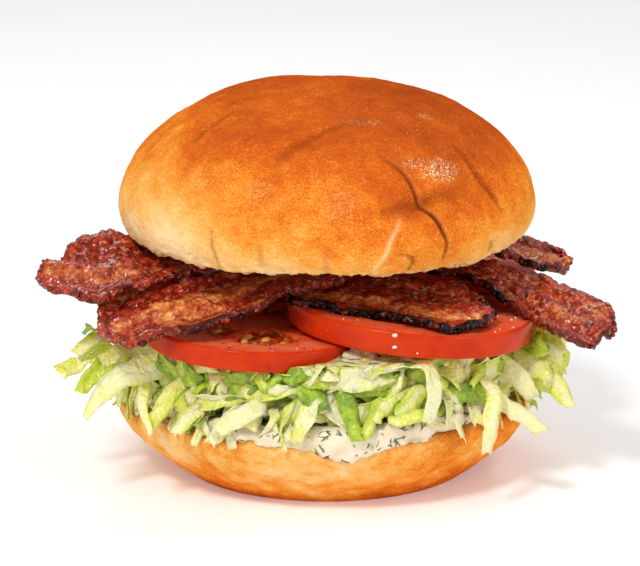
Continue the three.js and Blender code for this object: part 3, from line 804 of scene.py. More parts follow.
def spread_by(weight, count, low, high):
    """count values from low to high, closest together where weight is largest."""
    values = np.linspace(low, high, 2001)
    share = np.concatenate([[0], np.cumsum(weight(0.5 * (values[1:] + values[:-1])))])
    return np.interp(np.arange(count) / count * share[-1], share, values)


def crown_outline(turn):
    """Radius and height at a turn from -90 degrees, the cut's edge, to +90, the top."""
    up = turn >= 0
    radius = np.where(up, CROWN_RADIUS * np.cos(turn),
                      CROWN_RADIUS - CROWN_INSET * (1 - np.cos(turn)))
    height = CROWN_WIDEST_HEIGHT + np.where(up, CROWN_RISE, CROWN_DROP) * np.sin(turn)
    return radius, height


def crown_place(angle, turn):
    """Points on the crown without its fine relief, and the directions outwards."""
    radius, height = crown_outline(turn)
    radius = radius * (1 + 0.007 * swell(angle, 1))
    height = height + 0.8 * np.sin(2 * np.maximum(0, turn)) * swell(angle, 2)
    points = polar(angle, radius, height)
    over = height - CROWN_WIDEST_HEIGHT
    steep = np.where(over > 0, over / CROWN_RISE**2, over / CROWN_DROP**2)
    level = points[..., :2] / CROWN_RADIUS**2
    outwards = unit(np.concatenate([level, steep[..., None]], -1))
    for at, width, depth in DENTS:
        dent = depth * bell(lengths_of(points - at), width)
        points = points - outwards * dent[..., None]
    return points, outwards


def on_crown(x, z, side):
    """The point of the crown's front or back that has this x and z."""
    over = z - CROWN_WIDEST_HEIGHT
    if over >= 0:
        radius = CROWN_RADIUS * math.sqrt(max(0.0, 1 - (over / CROWN_RISE) ** 2))
    else:
        share = min(1.0, -over / CROWN_DROP)
        radius = CROWN_RADIUS - CROWN_INSET * (1 - math.sqrt(1 - share**2))
    return (x, side * math.sqrt(max(0.0, radius**2 - x**2)), z)


def nearest_on_line(line, points, facing):
    """How far each point is from a line on a surface, on which side and how far along it."""
    best = np.full(len(points), np.inf)
    side = np.zeros(len(points))
    share = np.zeros(len(points))
    for k, start in enumerate(line[:-1]):
        way = line[k + 1] - start
        t = np.clip((points - start) @ way / (way @ way), 0, 1)
        offset = points - start - t[:, None] * way
        offset = offset - np.sum(offset * facing, -1, keepdims=True) * facing
        distance = lengths_of(offset)
        closer = distance < best
        best = np.where(closer, distance, best)
        turned = np.sum(np.cross(way, offset) * facing, -1)
        side = np.where(closer, np.sign(turned), side)
        share = np.where(closer, (k + t) / (len(line) - 1), share)
    return best, side, share


def crease_relief(points, outwards, crease):
    """How far a crease moves each point outwards, how near the point is, and its upper lip."""
    corners = np.array([on_crown(x, z, crease["side"]) for x, z in crease["path"]])
    count = STEPS_PER_CORNER * (len(corners) - 1) + 1
    wobble = [line_noise(np.linspace(0, 30, count), 2.3, 5 + k) for k in range(3)]
    line = along(corners, np.linspace(0, 1, count)) + 0.5 * stacked(*wobble)
    width = crease["width"]
    reach = 6 * width + 4
    chosen = np.all((points > line.min(0) - reach) & (points < line.max(0) + reach), axis=-1)
    distance, side, share = nearest_on_line(line, points[chosen], outwards[chosen])
    ends = np.sin(np.pi * np.clip(share, 0, 1)) ** 0.6
    groove = bell(distance, width)
    shoulder = np.exp(-distance / (3 * width + 3))
    lift = crease["step"] * 0.5 * side * shoulder * (1 - groove) - crease["depth"] * groove
    upper = (side > 0) * np.exp(-((distance / width - 1.5) ** 2) / 0.2)
    relief, near, lip = np.zeros((3, *points.shape[:-1]))
    relief[chosen] = ends * lift
    near[chosen] = ends * groove
    lip[chosen] = ends * upper
    return relief, near, lip


def crown_creases(points, outwards):
    """Relief of all creases, how much painted shade darkens each point, and how pale each point is,
    with painted highlights on the lips of cracks.
    """
    relief, painted_shade, pale = np.zeros((3, *points.shape[:-1]))
    for crease in CREASES:
        lift, near, lip = crease_relief(points, outwards, crease)
        relief += lift
        painted_shade = np.maximum(painted_shade, crease["painted_shade"] * near)
        # Painted highlight: the raised lip beside a dark crack is made paler, standing in for the
        # light it catches.
        lip_highlight = 0.25 * smooth_step(0.6, 1, crease["painted_shade"]) * lip
        pale = np.maximum(pale, crease["pale"] * near + lip_highlight)
    return relief, painted_shade, pale


def crown_toast(points):
    """How toasted the crust is, with painted light and shade added at the sides and beside the main
    crack.
    """
    toast = read_curve(points[..., 2], CROWN_TOAST_BY_HEIGHT)
    toast = layered(points, CROWN_TOAST_NOISE, toast)
    toast = toast + read_curve(points[..., 0], CROWN_TOAST_AND_LIGHT_BY_X)
    for at, width, amount in TOAST_AND_LIGHT_PATCHES:
        toast = toast + amount * bell(lengths_of(points - at), width)
    return toast


def crown_flecks_and_sparkle(points):
    """How clearly light flecks show, the clearest of them being painted sparkle."""
    uneven = 0.3 * noise(points, 2.5, 45)
    flecks_and_sparkle = np.zeros(points.shape[:-1])
    for at, sizes, amount in FLECK_AND_SPARKLE_PATCHES:
        distance = lengths_of((points - at) / sizes)
        flecks_and_sparkle = np.maximum(flecks_and_sparkle, amount * smooth_step(1.3, 0.5, distance + uneven))
    return flecks_and_sparkle


def make_crown(material):
    """The top of the bun, with the rim of its crust a little flaky and pleated."""
    def round_weight(angle):
        """Where points are closest round the crown: at its main crack and beside it."""
        return 1 + 2.5 * bell(angle - CRACK_ANGLE, 0.5) + 1.3 * bell(angle - 2 * CRACK_ANGLE, 0.8)

    def up_weight(turn):
        """Where they are closest from the cut up: at the height of the crack."""
        return np.where(turn < 0, 0.7, 1) + 1.2 * bell(turn - CRACK_TURN, 0.6)

    angle = spread_by(round_weight, CROWN_SIDES, -1.5 * math.pi, 0.5 * math.pi)[None, :]
    turn = spread_by(up_weight, CROWN_ROWS, -0.5 * math.pi, 0.5 * math.pi)[:, None]
    points, outwards = crown_place(angle, turn + 0 * angle)
    relief, painted_shade, pale = crown_creases(points, outwards)
    left = smooth_step(-15, -45, points[..., 0])
    above_cut = points[..., 2] - CROWN_CUT_HEIGHT
    low_edge = smooth_step(4.5 + 3 * left, 0.5, above_cut + 1.2 * noise(points, 8, 13))
    peeled = smooth_step(-0.1, 0.1, noise(points, (3.0, 3.0, 1.2), 21)) - 0.5
    flakes = low_edge * (0.4 * fractal(points, 1.8, 15, 2) + 0.5 * peeled)
    pleats = smooth_step(14, 3, above_cut) * 0.16 * (1 + left) * noise(points, (1.6, 1.6, 8), 25)
    relief += layered(points, CROWN_RELIEF) + flakes + pleats
    points = points + outwards * relief[..., None]
    toast = crown_toast(points) - 0.04 * low_edge
    crumb = smooth_step(1.2, 0, points[..., 2] - CROWN_CUT_HEIGHT + 0.6 * fractal(points, 4, 5))

    middle = np.array([0, 0, CROWN_CUT_HEIGHT])
    cut = disc(middle, points[0], CROWN_CUT_ROWS)
    cut[..., 2] += 0.25 * fractal(cut, 3, 77, 2)
    top = crown_place(np.array([0.0]), np.array([0.5 * math.pi]))[0][0]
    marks = dict(
        toast=(0, on_parts((cut, 0), (points, toast)), toast[-1].mean()),
        crease=(0, on_parts((cut, 0), (points, painted_shade)), 0),
        pale=(0, on_parts((cut, 0), (points, pale)), 0),
        flecks_and_sparkle=(0, on_parts((cut, 0), (points, crown_flecks_and_sparkle(points))), 0),
        crumb=(1, on_parts((cut, 1), (points, crumb)), 0),
    )
    make_lathe("crown", middle, np.concatenate([cut, points]), top, material, marks,
               node="bun_crown", slot="crown_crust")


# ---------------------------------------------------------------- the heel

HEEL_SIDES = 420
HEEL_ROWS = 56
HEEL_CUT_ROWS = 10
HEEL_BASE_ROWS = 8

# Relief of the crust and how its toast wanders: depth, size, seed and octaves of each noise.
HEEL_RELIEF = [(0.40, 11, 51, 3), (0.20, 2.2, 55, 2)]
HEEL_TOAST_NOISE = [(0.10, 14, 61, 3), (0.11, 4, 64, 3)]

# How toasted the crust is at each height, what is added at each x, and how toasted its flat
# base and its cut are.
HEEL_TOAST_BY_HEIGHT = [(0, 0.60), (3, 0.36), (9, 0.15), (16, 0.09), (19, 0.12), (21, 0.16)]
HEEL_TOAST_BY_X = [(-57, 0.14), (-30, 0.10), (0, 0), (30, 0.20), (57, 0.38)]
HEEL_BASE_TOAST = 0.6
HEEL_CUT_TOAST = 0.1


def heel_radius(height):
    """The heel's radius at a height."""
    turn = 0.5 * math.pi * np.minimum(height / HEEL_FLARE_HEIGHT, 1)
    return HEEL_BASE_RADIUS + (HEEL_RIM_RADIUS - HEEL_BASE_RADIUS) * np.sin(turn)


def make_heel(material):
    """The bottom of the bun."""
    angle = ring_angles(HEEL_SIDES)
    height = np.linspace(0, HEEL_CUT_HEIGHT, HEEL_ROWS)[:, None] + 0 * angle
    rounding = smooth_step(HEEL_CUT_HEIGHT - 1.6, HEEL_CUT_HEIGHT, height)
    radius = heel_radius(height) * (1 + 0.006 * swell(angle, 3)) - 0.9 * rounding**2
    side = polar(angle, radius, height)
    side[..., 0] -= HEEL_LEAN * height / HEEL_CUT_HEIGHT
    outwards = unit(polar(angle, 1, -0.4))
    ripple = 0.3 * np.maximum(0, noise(side, (9, 9, 3.2), 58)) * smooth_step(4, 10, height)
    relief = (layered(side, HEEL_RELIEF) - ripple) * smooth_step(0, 2.5, height)
    side = side + outwards * relief[..., None]

    middle = np.array([-HEEL_LEAN, 0, HEEL_CUT_HEIGHT])
    cut = disc(middle, side[-1], HEEL_CUT_ROWS, inwards=True)
    cut[..., 2] += 0.2 * fractal(cut, 3, 66, 2)
    base = disc(np.zeros(3), side[0], HEEL_BASE_ROWS)

    toast = layered(side, HEEL_TOAST_NOISE, read_curve(height, HEEL_TOAST_BY_HEIGHT))
    toast = toast + read_curve(side[..., 0], HEEL_TOAST_BY_X)
    crumb = smooth_step(20.8, 21.4, height + 0.5 * fractal(side, 3, 71))
    on_rings = on_parts((base, HEEL_BASE_TOAST), (side, toast), (cut, HEEL_CUT_TOAST))
    marks = dict(
        toast=(HEEL_BASE_TOAST, on_rings, HEEL_CUT_TOAST),
        crumb=(0, on_parts((base, 0), (side, 0.6 * crumb), (cut, 1)), 1),
        crease=(0, 0, 0),
        pale=(0, 0, 0),
        flecks_and_sparkle=(0, 0, 0),
    )
    make_lathe("heel", (0, 0, 0), np.concatenate([base, side, cut]), middle, material, marks,
               node="bun_heel", slot="heel_crust")


# ---------------------------------------------------------------- the sauce

SAUCE_SIDES = 160
SAUCE_VOXEL = 0.85

# The spread's outline: the distance inwards from its reach, and the height.
SAUCE_OUTLINE = [(-24, SAUCE_LOW), (-1.4, SAUCE_LOW), (0, SAUCE_LOW + 0.9), (0.2, 23.1),
                 (-0.6, SAUCE_HIGH - 0.8), (-2.6, SAUCE_HIGH), (-24, SAUCE_HIGH)]

# Rounded lumps pushed out at the front: angle in degrees, distance from the middle, height,
# and half sizes round, outwards and upwards.
SAUCE_LUMPS = [
    (-119, 53.4, 22.3, 7, 3.2, 2.4),
    (-107, 54.6, 22.6, 8, 3.6, 3.0),
    (-96, 55.2, 22.6, 8, 3.6, 3.2),
    (-85.5, 56.0, 21.0, 8.5, 3.6, 5.2),
    (-75, 55.2, 22.4, 8, 3.8, 4.0),
    (-65, 54.8, 23.2, 7.5, 3.8, 3.6),
    (-56, 54.6, 24.0, 6.5, 3.4, 3.0),
]

# Small lumps scattered along the front and along the whole rim: how many, the ranges of their
# angle, size, distance inside the reach and height, and their length and height for their size.
SMALL_LUMPS = [
    (30, (-125, -48), (1.4, 2.8), (-2.4, 1.0), (22.2, 25.5), 1.4, 0.8),
    (40, (-50, 235), (1.4, 2.4), (0.3, 1.5), (22.6, 23.8), 1.8, 0.7),
]

# Relief of the sauce: depth, size, seed and octaves of each noise.
SAUCE_RELIEF = [(0.8, 6.5, 91, 3), (0.65, 3.2, 95, 1), (0.07, 1.6, 93, 2)]

# How many places on the sauce have dill: at the front, and all round.
FRONT_DILL = 95
ROUND_DILL = 90

# Dill lies further from the middle than DILL_RADIUS, higher than DILL_LOW and where the upward
# part of the sauce's normal is over DILL_LEAST_UP. The front is where y is below DILL_FRONT.
DILL_RADIUS = 48
DILL_LOW = 17
DILL_LEAST_UP = -0.5
DILL_FRONT = -30

BLADE_ROWS = 6
BLADE_THICKNESS = 0.2


def sauce_reach(angle):
    """How far out the sauce lies at each angle."""
    front = np.maximum(0, -np.sin(angle + 0.08)) ** 2
    return SAUCE_RADIUS + 3.2 * front + 1.6 * swell(angle, 4)


def all_lumps():
    """The lumps at the front and the small ones, in the form of SAUCE_LUMPS."""
    rng = np.random.default_rng(11)
    lumps = list(SAUCE_LUMPS)
    for count, degree_range, size_range, inside_range, height_range, long, high in SMALL_LUMPS:
        for _ in range(count):
            degrees = rng.uniform(*degree_range)
            size = rng.uniform(*size_range)
            distance = float(sauce_reach(math.radians(degrees))) - rng.uniform(*inside_range)
            height = rng.uniform(*height_range)
            lumps.append((degrees, distance, height, size * long, size, size * high))
    return lumps


def make_sauce(material):
    """The spread of sauce: a flat body and lumps made one, with a lumpy rim."""
    heap = Heap()
    angle = ring_angles(SAUCE_SIDES)
    reach = sauce_reach(angle)
    rings = [polar(angle, reach + inset, height)[0] for inset, height in SAUCE_OUTLINE]
    points = np.concatenate([[(0, 0, SAUCE_LOW)], *rings, [(0, 0, SAUCE_HIGH)]])
    heap.add(points, lathe_faces(len(rings), SAUCE_SIDES))
    unit_points, unit_faces = ball(20, 12)
    for degrees, distance, height, around, out, up in all_lumps():
        outwards = level_way(math.radians(degrees))
        shaped = stretched(unit_points, outwards, out, around, up)
        heap.add(shaped + distance * outwards + np.array([0, 0, height]), unit_faces)
    piece = heap.make("sauce_spread", material, node="sauce", slot="sauce")
    remesh = piece.modifiers.new("remesh", "REMESH")
    remesh.mode = "VOXEL"
    remesh.voxel_size = SAUCE_VOXEL * MM
    smooth = piece.modifiers.new("smooth", "SMOOTH")
    smooth.factor = 0.6
    smooth.iterations = 5
    apply_modifiers(piece)

    points, normals = mesh_arrays(piece.data)
    radial = np.hypot(points[:, 0], points[:, 1])
    lift = layered(points, SAUCE_RELIEF) * smooth_step(44, 50, radial)
    points = points + normals * lift[:, None]
    lying = (radial < HEEL_RIM_RADIUS - 1.2) & (points[:, 2] < SAUCE_LOW)
    points[lying, 2] = SAUCE_LOW
    low = points[:, 2] < HEEL_CUT_HEIGHT
    needed = heel_radius(points[:, 2]) + 0.3
    push = np.where(low & (radial < needed), needed / np.maximum(radial, 1), 1.0)
    points[:, :2] *= push[:, None]
    piece.data.vertices.foreach_set("co", (points * MM).ravel())
    piece.data.polygons.foreach_set("use_smooth", [True] * len(piece.data.polygons))
    piece.data.update()
    return piece


def apply_modifiers(piece):
    """Replaces the piece's mesh by what its modifiers make of it."""
    graph = bpy.context.evaluated_depsgraph_get()
    made = bpy.data.meshes.new_from_object(piece.evaluated_get(graph))
    piece.modifiers.clear()
    old = piece.data
    piece.data = made
    bpy.data.meshes.remove(old)


def mesh_arrays(mesh):
    """Points in millimetres and unit normals of a mesh."""
    points = np.empty(3 * len(mesh.vertices))
    mesh.vertices.foreach_get("co", points)
    normals = np.empty(3 * len(mesh.vertices))
    mesh.vertices.foreach_get("normal", normals)
    return points.reshape(-1, 3) / MM, normals.reshape(-1, 3)


def scatter_herbs(sauce, material):
    """Chopped dill on the sauce: sprigs of a few thin blades, and single ones."""
    points, normals = mesh_arrays(sauce.data)
    faces = [tuple(face.vertices) for face in sauce.data.polygons]
    surface = BVHTree.FromPolygons(points.tolist(), faces)
    radial = np.hypot(points[:, 0], points[:, 1])
    shows = np.flatnonzero((radial > DILL_RADIUS) & (normals[:, 2] > DILL_LEAST_UP)
                           & (points[:, 2] > DILL_LOW))
    rng = np.random.default_rng(23)
    front = shows[points[shows, 1] < DILL_FRONT]
    picked = np.concatenate([rng.choice(front, FRONT_DILL), rng.choice(shows, ROUND_DILL)])
    heap = Heap()
    for i in picked:
        way = unit(np.cross(normals[i], rng.normal(size=3)))
        bend = np.cross(normals[i], way)
        sprig = rng.random() < 0.4
        for blade in range(rng.integers(3, 6) if sprig else 1):
            length = rng.uniform(0.8, 2.2) if sprig else rng.uniform(0.4, 2.0)
            heading = unit(way + rng.uniform(-0.8, 0.8) * bend) if sprig else way
            root = points[i] + (0.35 * blade * way if sprig else 0)
            curve = rng.uniform(-0.7, 0.7)
            thickest = rng.uniform(0.07, 0.15)
            rows = []
            for t in np.linspace(0, 1, BLADE_ROWS):
                spot = root + length * (t * heading + curve * t**2 * bend)
                near, facing, _, _ = surface.find_nearest(spot)
                taper = 1 - 0.6 * abs(2 * t - 1) ** 3
                across = unit(np.cross(facing, heading)) * thickest * taper
                middle = np.array(near) + 0.05 * np.array(facing)
                rows.append([middle - across, middle + across])
            heap.add_sheet(np.array(rows), BLADE_THICKNESS)
    heap.make("dill", material, slot="sauce")


# ---------------------------------------------------------------- the tomato slices

CHAMBERS = 5
SEEDS_PER_SLICE = 28
SKIN_INSET = 0.45
SKIN_ROWS = 13

# Half sizes of a seed: along it, across it and upwards.
SEED_HALF_SIZES = (1.9, 1.1, 0.7)

# Sides and rings of a slice that shows in front, and of one at the back.
FRONT_SLICE_GRID = (220, 48)
BACK_SLICE_GRID = (150, 32)


def slice_frame(tomato):
    """Origin and axes of a slice that lies on its own z = 0."""
    ax = math.atan(tomato["slope"][1])
    ay = -math.atan(tomato["slope"][0])
    about_x = np.array([[1, 0, 0],
                        [0, math.cos(ax), -math.sin(ax)],
                        [0, math.sin(ax), math.cos(ax)]])
    about_y = np.array([[math.cos(ay), 0, math.sin(ay)],
                        [0, 1, 0],
                        [-math.sin(ay), 0, math.cos(ay)]])
    return np.array(tomato["at"], float), about_x @ about_y


def chamber_mask(angle, share, tomato):
    """1 in the seed chambers of a slice, at a share of its radius, and 0 in its flesh."""
    seed = tomato["at"][0]
    first_turn = -1.35 if seed < 0 else -0.9
    wander = 0.10 * np.sin(3 * angle + seed) + 0.06 * np.sin(7 * angle + 2 * seed)
    phase = ((angle - first_turn + wander) * CHAMBERS / (2 * math.pi)) % 1
    off_middle = np.abs(phase - np.round(phase))
    wall = 0.055 / np.maximum(share, 0.1)
    in_sector = smooth_step(0.5 - wall, 0.5 - wall - 0.05, off_middle)
    inner = 0.27 + 0.05 * np.sin(2 * angle + seed)
    outer = 0.70 + 0.035 * np.sin(4 * angle + 3 * seed)
    return (in_sector * smooth_step(inner, inner + 0.05, share)
            * smooth_step(outer, outer - 0.035, share))


def make_tomato(key, material, seeds):
    """One slice, with its seeds added to those of the others."""
    tomato = TOMATOES[key]
    thick = tomato["thickness"]
    seed = tomato["at"][0]
    sides, rows = FRONT_SLICE_GRID if key.startswith("front") else BACK_SLICE_GRID
    angle = ring_angles(sides)
    share = np.linspace(0.02, 1, rows)[:, None]
    bulge = np.linspace(-0.5 * math.pi, 0.5 * math.pi, SKIN_ROWS + 2)[1:-1, None]
    reach = tomato["radius"] * (1 + 0.012 * swell(angle, seed))
    mask = chamber_mask(angle, share, tomato)
    planar = polar(angle, share * (reach - SKIN_INSET), 0)
    ripples = 0.14 * fractal(planar + seed, 2.6, 7, 2) + 0.10 * fractal(planar + seed, 7, 8, 2)
    swollen = 0.35 * smooth_step(0.2, 0.9, mask) * fractal(planar + seed, 3.2, 12, 2)
    fade = 1 - smooth_step(0.9, 1.0, share)
    top = planar.copy()
    top[..., 2] += thick - 1.1 * mask + (ripples + swollen) * fade
    low = planar.copy()
    low[..., 2] += 0.8 * mask - ripples * fade
    skin_radius = reach - SKIN_INSET + 0.6 * np.cos(bulge) ** 0.6
    skin_height = 0.5 * thick * (1 + np.sign(bulge) * np.abs(np.sin(bulge)) ** 0.55)
    skin = polar(angle, skin_radius, skin_height)
    skin = skin + polar(angle, 1, 0) * (0.12 * fractal(skin, 9, 14, 2))[..., None]

    streaky = tomato["pale"] * (1 + 0.8 * noise(planar, 2.4, 19))
    wall = smooth_step(0.72, 0.76, share) * smooth_step(0.97, 0.90, share) * streaky
    spokes = stacked(9 * angle, 4 * share, mask)
    pale = np.clip(bell(share, 0.16) + wall + 0.3 * np.maximum(0, noise(spokes, 1, 23)), 0, 1)
    near_skin = smooth_step(0.985, 1.0, share)
    marks = dict(
        gel=(0, on_parts((low, mask), (skin, 0), (top, mask[::-1])), 0),
        core=(1, on_parts((low, pale), (skin, 0), (top, pale[::-1])), 1),
        skin=(0, on_parts((low, near_skin), (skin, 1), (top, near_skin[::-1])), 0),
    )
    origin, axes = slice_frame(tomato)
    grid = np.concatenate([low, skin, top[::-1]])
    make_lathe(f"tomato_{key}_slice", origin, grid @ axes.T + origin, axes @ (0, 0, thick) + origin,
               material, marks, node=f"tomato_{key}", slot="tomato")
    add_seeds(seeds, tomato)


def add_seeds(seeds, tomato):
    """Seeds in the chambers of a slice, each lying roughly outwards."""
    origin, axes = slice_frame(tomato)
    rng = np.random.default_rng(int(abs(tomato["at"][0]) * 10))
    unit_points, unit_faces = ball(8, 5)
    wanted = SEEDS_PER_SLICE
    while wanted:
        spot = rng.uniform(0, 2 * math.pi)
        part = rng.uniform(0.28, 0.7)
        if chamber_mask(spot, part, tomato) < 0.75:
            continue
        wanted -= 1
        way = level_way(spot + rng.normal(0, 0.5))
        shaped = stretched(unit_points, way, *SEED_HALF_SIZES)
        at = part * tomato["radius"] * level_way(spot)
        at[2] = tomato["thickness"] - rng.uniform(1.0, 1.5)
        seeds.add((shaped + at) @ axes.T + origin, unit_faces)


# ---------------------------------------------------------------- the bacon

STRIP_ROWS = 208
STRIP_COLUMNS = 54

# A step along the rim that is longer than this leads from one edge to the next.
LONGEST_RIM_STEP = 5


def strip_place(strip, u, w):
    """Points on the middle of a strip: u from its outer end, w from its front edge."""
    u, w = np.broadcast_arrays(u, w)
    front = along(strip["front"], u)
    rear = along(strip["rear"], u)
    outer_end = np.maximum(0, 1 - u / 0.06)
    inner_end = np.maximum(0, (u - 0.92) / 0.08)
    rounded = 1 - 0.3 * outer_end**2 - 0.3 * inner_end**2
    ragged = 1 + 0.05 * np.sin(26 * u + 2.1 * strip["seed"] + 2 * w)
    share = 0.5 + (w - 0.5) * rounded * ragged
    points = front + (rear - front) * share[..., None]
    start = along(strip["front"], 0.15) + along(strip["rear"], 0.15)
    outwards = unit(front + rear - start)
    tip = along(strip["tip"], w) * np.maximum(0, 1 - u / 0.2) ** 2
    points = points + outwards * tip[..., None]
    fold = along(strip["fold"], u) * np.cos(4.8 * math.pi * (w - 0.44))
    fading = strip["ruffle"] * np.maximum(0, 1 - 1.6 * u)
    points[..., 2] += fold + fading * np.sin(15 * u + 1.3 * strip["seed"] + 2 * w)
    return points


def make_bacon(key, material):
    """One strip: a lumpy sheet with knobbly, torn edges and beads of fat along them."""
    strip = STRIPS[key]
    seed = strip["seed"]
    u = np.linspace(0, 1, STRIP_ROWS)[:, None]
    w = 0.5 - 0.5 * np.cos(np.linspace(0.15, math.pi - 0.15, STRIP_COLUMNS))[None, :]
    w = (w - w.min()) / (w.max() - w.min())
    middle = strip_place(strip, u, w)
    steps = lengths_of(np.diff(middle[:, STRIP_COLUMNS // 2], axis=0))
    mm = np.concatenate([[0], np.cumsum(steps)])[:, None]
    width = lengths_of(middle[:, -1] - middle[:, 0])[:, None]
    flat = stacked(mm, w * width, 0.5)
    from_front = w * width
    from_rear = (1 - w) * width

    def wave(size, offset):
        """Noise along the strip."""
        return line_noise(mm, size, seed + offset)

    def rough(size, offset):
        """Noise along and across the strip."""
        return noise(flat, size, seed + offset)

    def edge_line(size, offset):
        """How ragged the two long edges are, fading out towards the middle."""
        return (wave(size, offset) * smooth_step(2.6, 0, from_front)
                + wave(size, offset + 3) * smooth_step(2.6, 0, from_rear))

    across = unit(middle[:, -1] - middle[:, 0])[:, None, :]
    outwards = np.where(w < 0.5, -1, 1) * (0.9 * edge_line(5, 31) + 0.65 * edge_line(1.5, 37))
    middle = middle + across * outwards[..., None]
    inwards = unit(middle[6] - middle[0])[None]
    ragged_tip = 0.9 * line_noise(w * width, 5, seed) + 0.65 * line_noise(w * width, 1.5, seed + 9)
    middle = middle + inwards * (smooth_step(3.0, 0, mm) * ragged_tip)[..., None]

    fat = np.zeros(flat.shape[:-1])
    for k, (centre, half, strength) in enumerate(strip["fat"]):
        drift = centre + 0.18 * wave(20, 7 * k) + 0.05 * wave(6, 5 * k)
        half_width = np.maximum(half * (1 + 1.1 * wave(12, 3 * k)), 0.01)
        fat = np.maximum(fat, strength * smooth_step(1.6, 0.4, np.abs(w - drift) / half_width))
    fat = np.clip(fat + 0.4 * rough((14, 1.5, 1), 41) - 0.5 * np.abs(rough(9, 42)), 0, 1)
    rim = np.minimum(np.minimum(from_front, from_rear), mm + 0.4)
    scorched = strip["scorch"] + 0.45 * rough((10, 10, 1), 45) + 0.2 * (from_front < from_rear)
    char = scorched * smooth_step(2.6, 0.2, rim + 0.9 * rough(2.6, 43))
    dark_patches = smooth_step(0.3, 0.8, fractal(flat, 7, seed + 47)) * (1 - fat)
    char = np.clip(char + 0.45 * strip["scorch"] * dark_patches, 0, 1)

    bent = flat + 1.2 * stacked(rough(4, 61), rough(4, 62), 0)
    billows = 0.5 - np.abs(noise(bent, (3.8, 2.6, 1), seed + 55))
    creases = 0.5 - np.abs(noise(bent, (2.1, 1.5, 1), seed + 56))
    knobs = smooth_step(2.2, 0.4, rim) * (0.5 + 0.8 * rough(1.5, 59))
    lumps = 0.6 * fractal(flat, 6, seed + 51) + 0.2 * (fat - 0.5) + 0.3 * rough((9, 2, 1), 53)
    lumps = lumps + (1.0 - 0.4 * fat) * (1.5 * billows + 0.5 * creases)
    grid = middle + grid_normals(middle) * lumps[..., None]
    heap = Heap()
    heap.add_sheet(grid, STRIP_THICKNESS * (0.75 + 0.5 * knobs), fat=fat, char=char)
    add_beads(heap, grid, char, seed)
    heap.make(f"bacon_{key}_strip", material, node=f"bacon_{key}", slot="bacon")


def add_beads(heap, grid, char, seed):
    """Small beads along both long edges and the outer end of a strip."""
    rng = np.random.default_rng(seed)
    unit_points, unit_faces = ball(7, 4)
    rim_points = np.concatenate([grid[:, 0], grid[:, -1], grid[0, 4:-4]])
    rim_char = np.concatenate([char[:, 0], char[:, -1], char[0, 4:-4]])
    steps = lengths_of(np.diff(rim_points, axis=0))
    travelled = 0.0
    next_bead = 0.0
    for point, burnt, step in zip(rim_points, rim_char, steps):
        travelled += step if step < LONGEST_RIM_STEP else 0
        if travelled < next_bead:
            continue
        next_bead = travelled + rng.uniform(0.9, 1.7)
        shaped = pebble(unit_points, rng.uniform(0.45, 0.85), 0.7, 1.4, rng)
        heap.add(shaped + point + rng.normal(0, 0.25, 3), unit_faces, fat=0.1,
                 char=np.clip(burnt + rng.uniform(-0.4, 0.3), 0, 1))


# ---------------------------------------------------------------- the lettuce

LEAF_THICKNESS = 0.3

# A shred has one row of points for each such length, within these limits.
SHRED_ROW_LENGTH = 1.25
SHRED_ROWS = (8, 26)
SHRED_COLUMNS = 6

# The heap under the shreds: how far it bulges from the bottom up, and the middle of its top.
CORE_SIDES = 180
CORE_ROWS = 26
CORE_LID_ROWS = 13
CORE_BULGE = (2.5, 2.5, 2.0, 0.0, -7)
CORE_TOP = (0, 0, 41)

# The share of a turn from one scattered shred to the next.
GOLDEN_SHARE = 0.61803

# How green the scattered shreds are, and how common each green is.
GREENS = (0.04, 0.22, 0.45, 0.8)
GREEN_SHARES = (0.28, 0.32, 0.20, 0.20)

# Shreds greener than this count as leaf and the others as rib.
LEAFY = 0.4

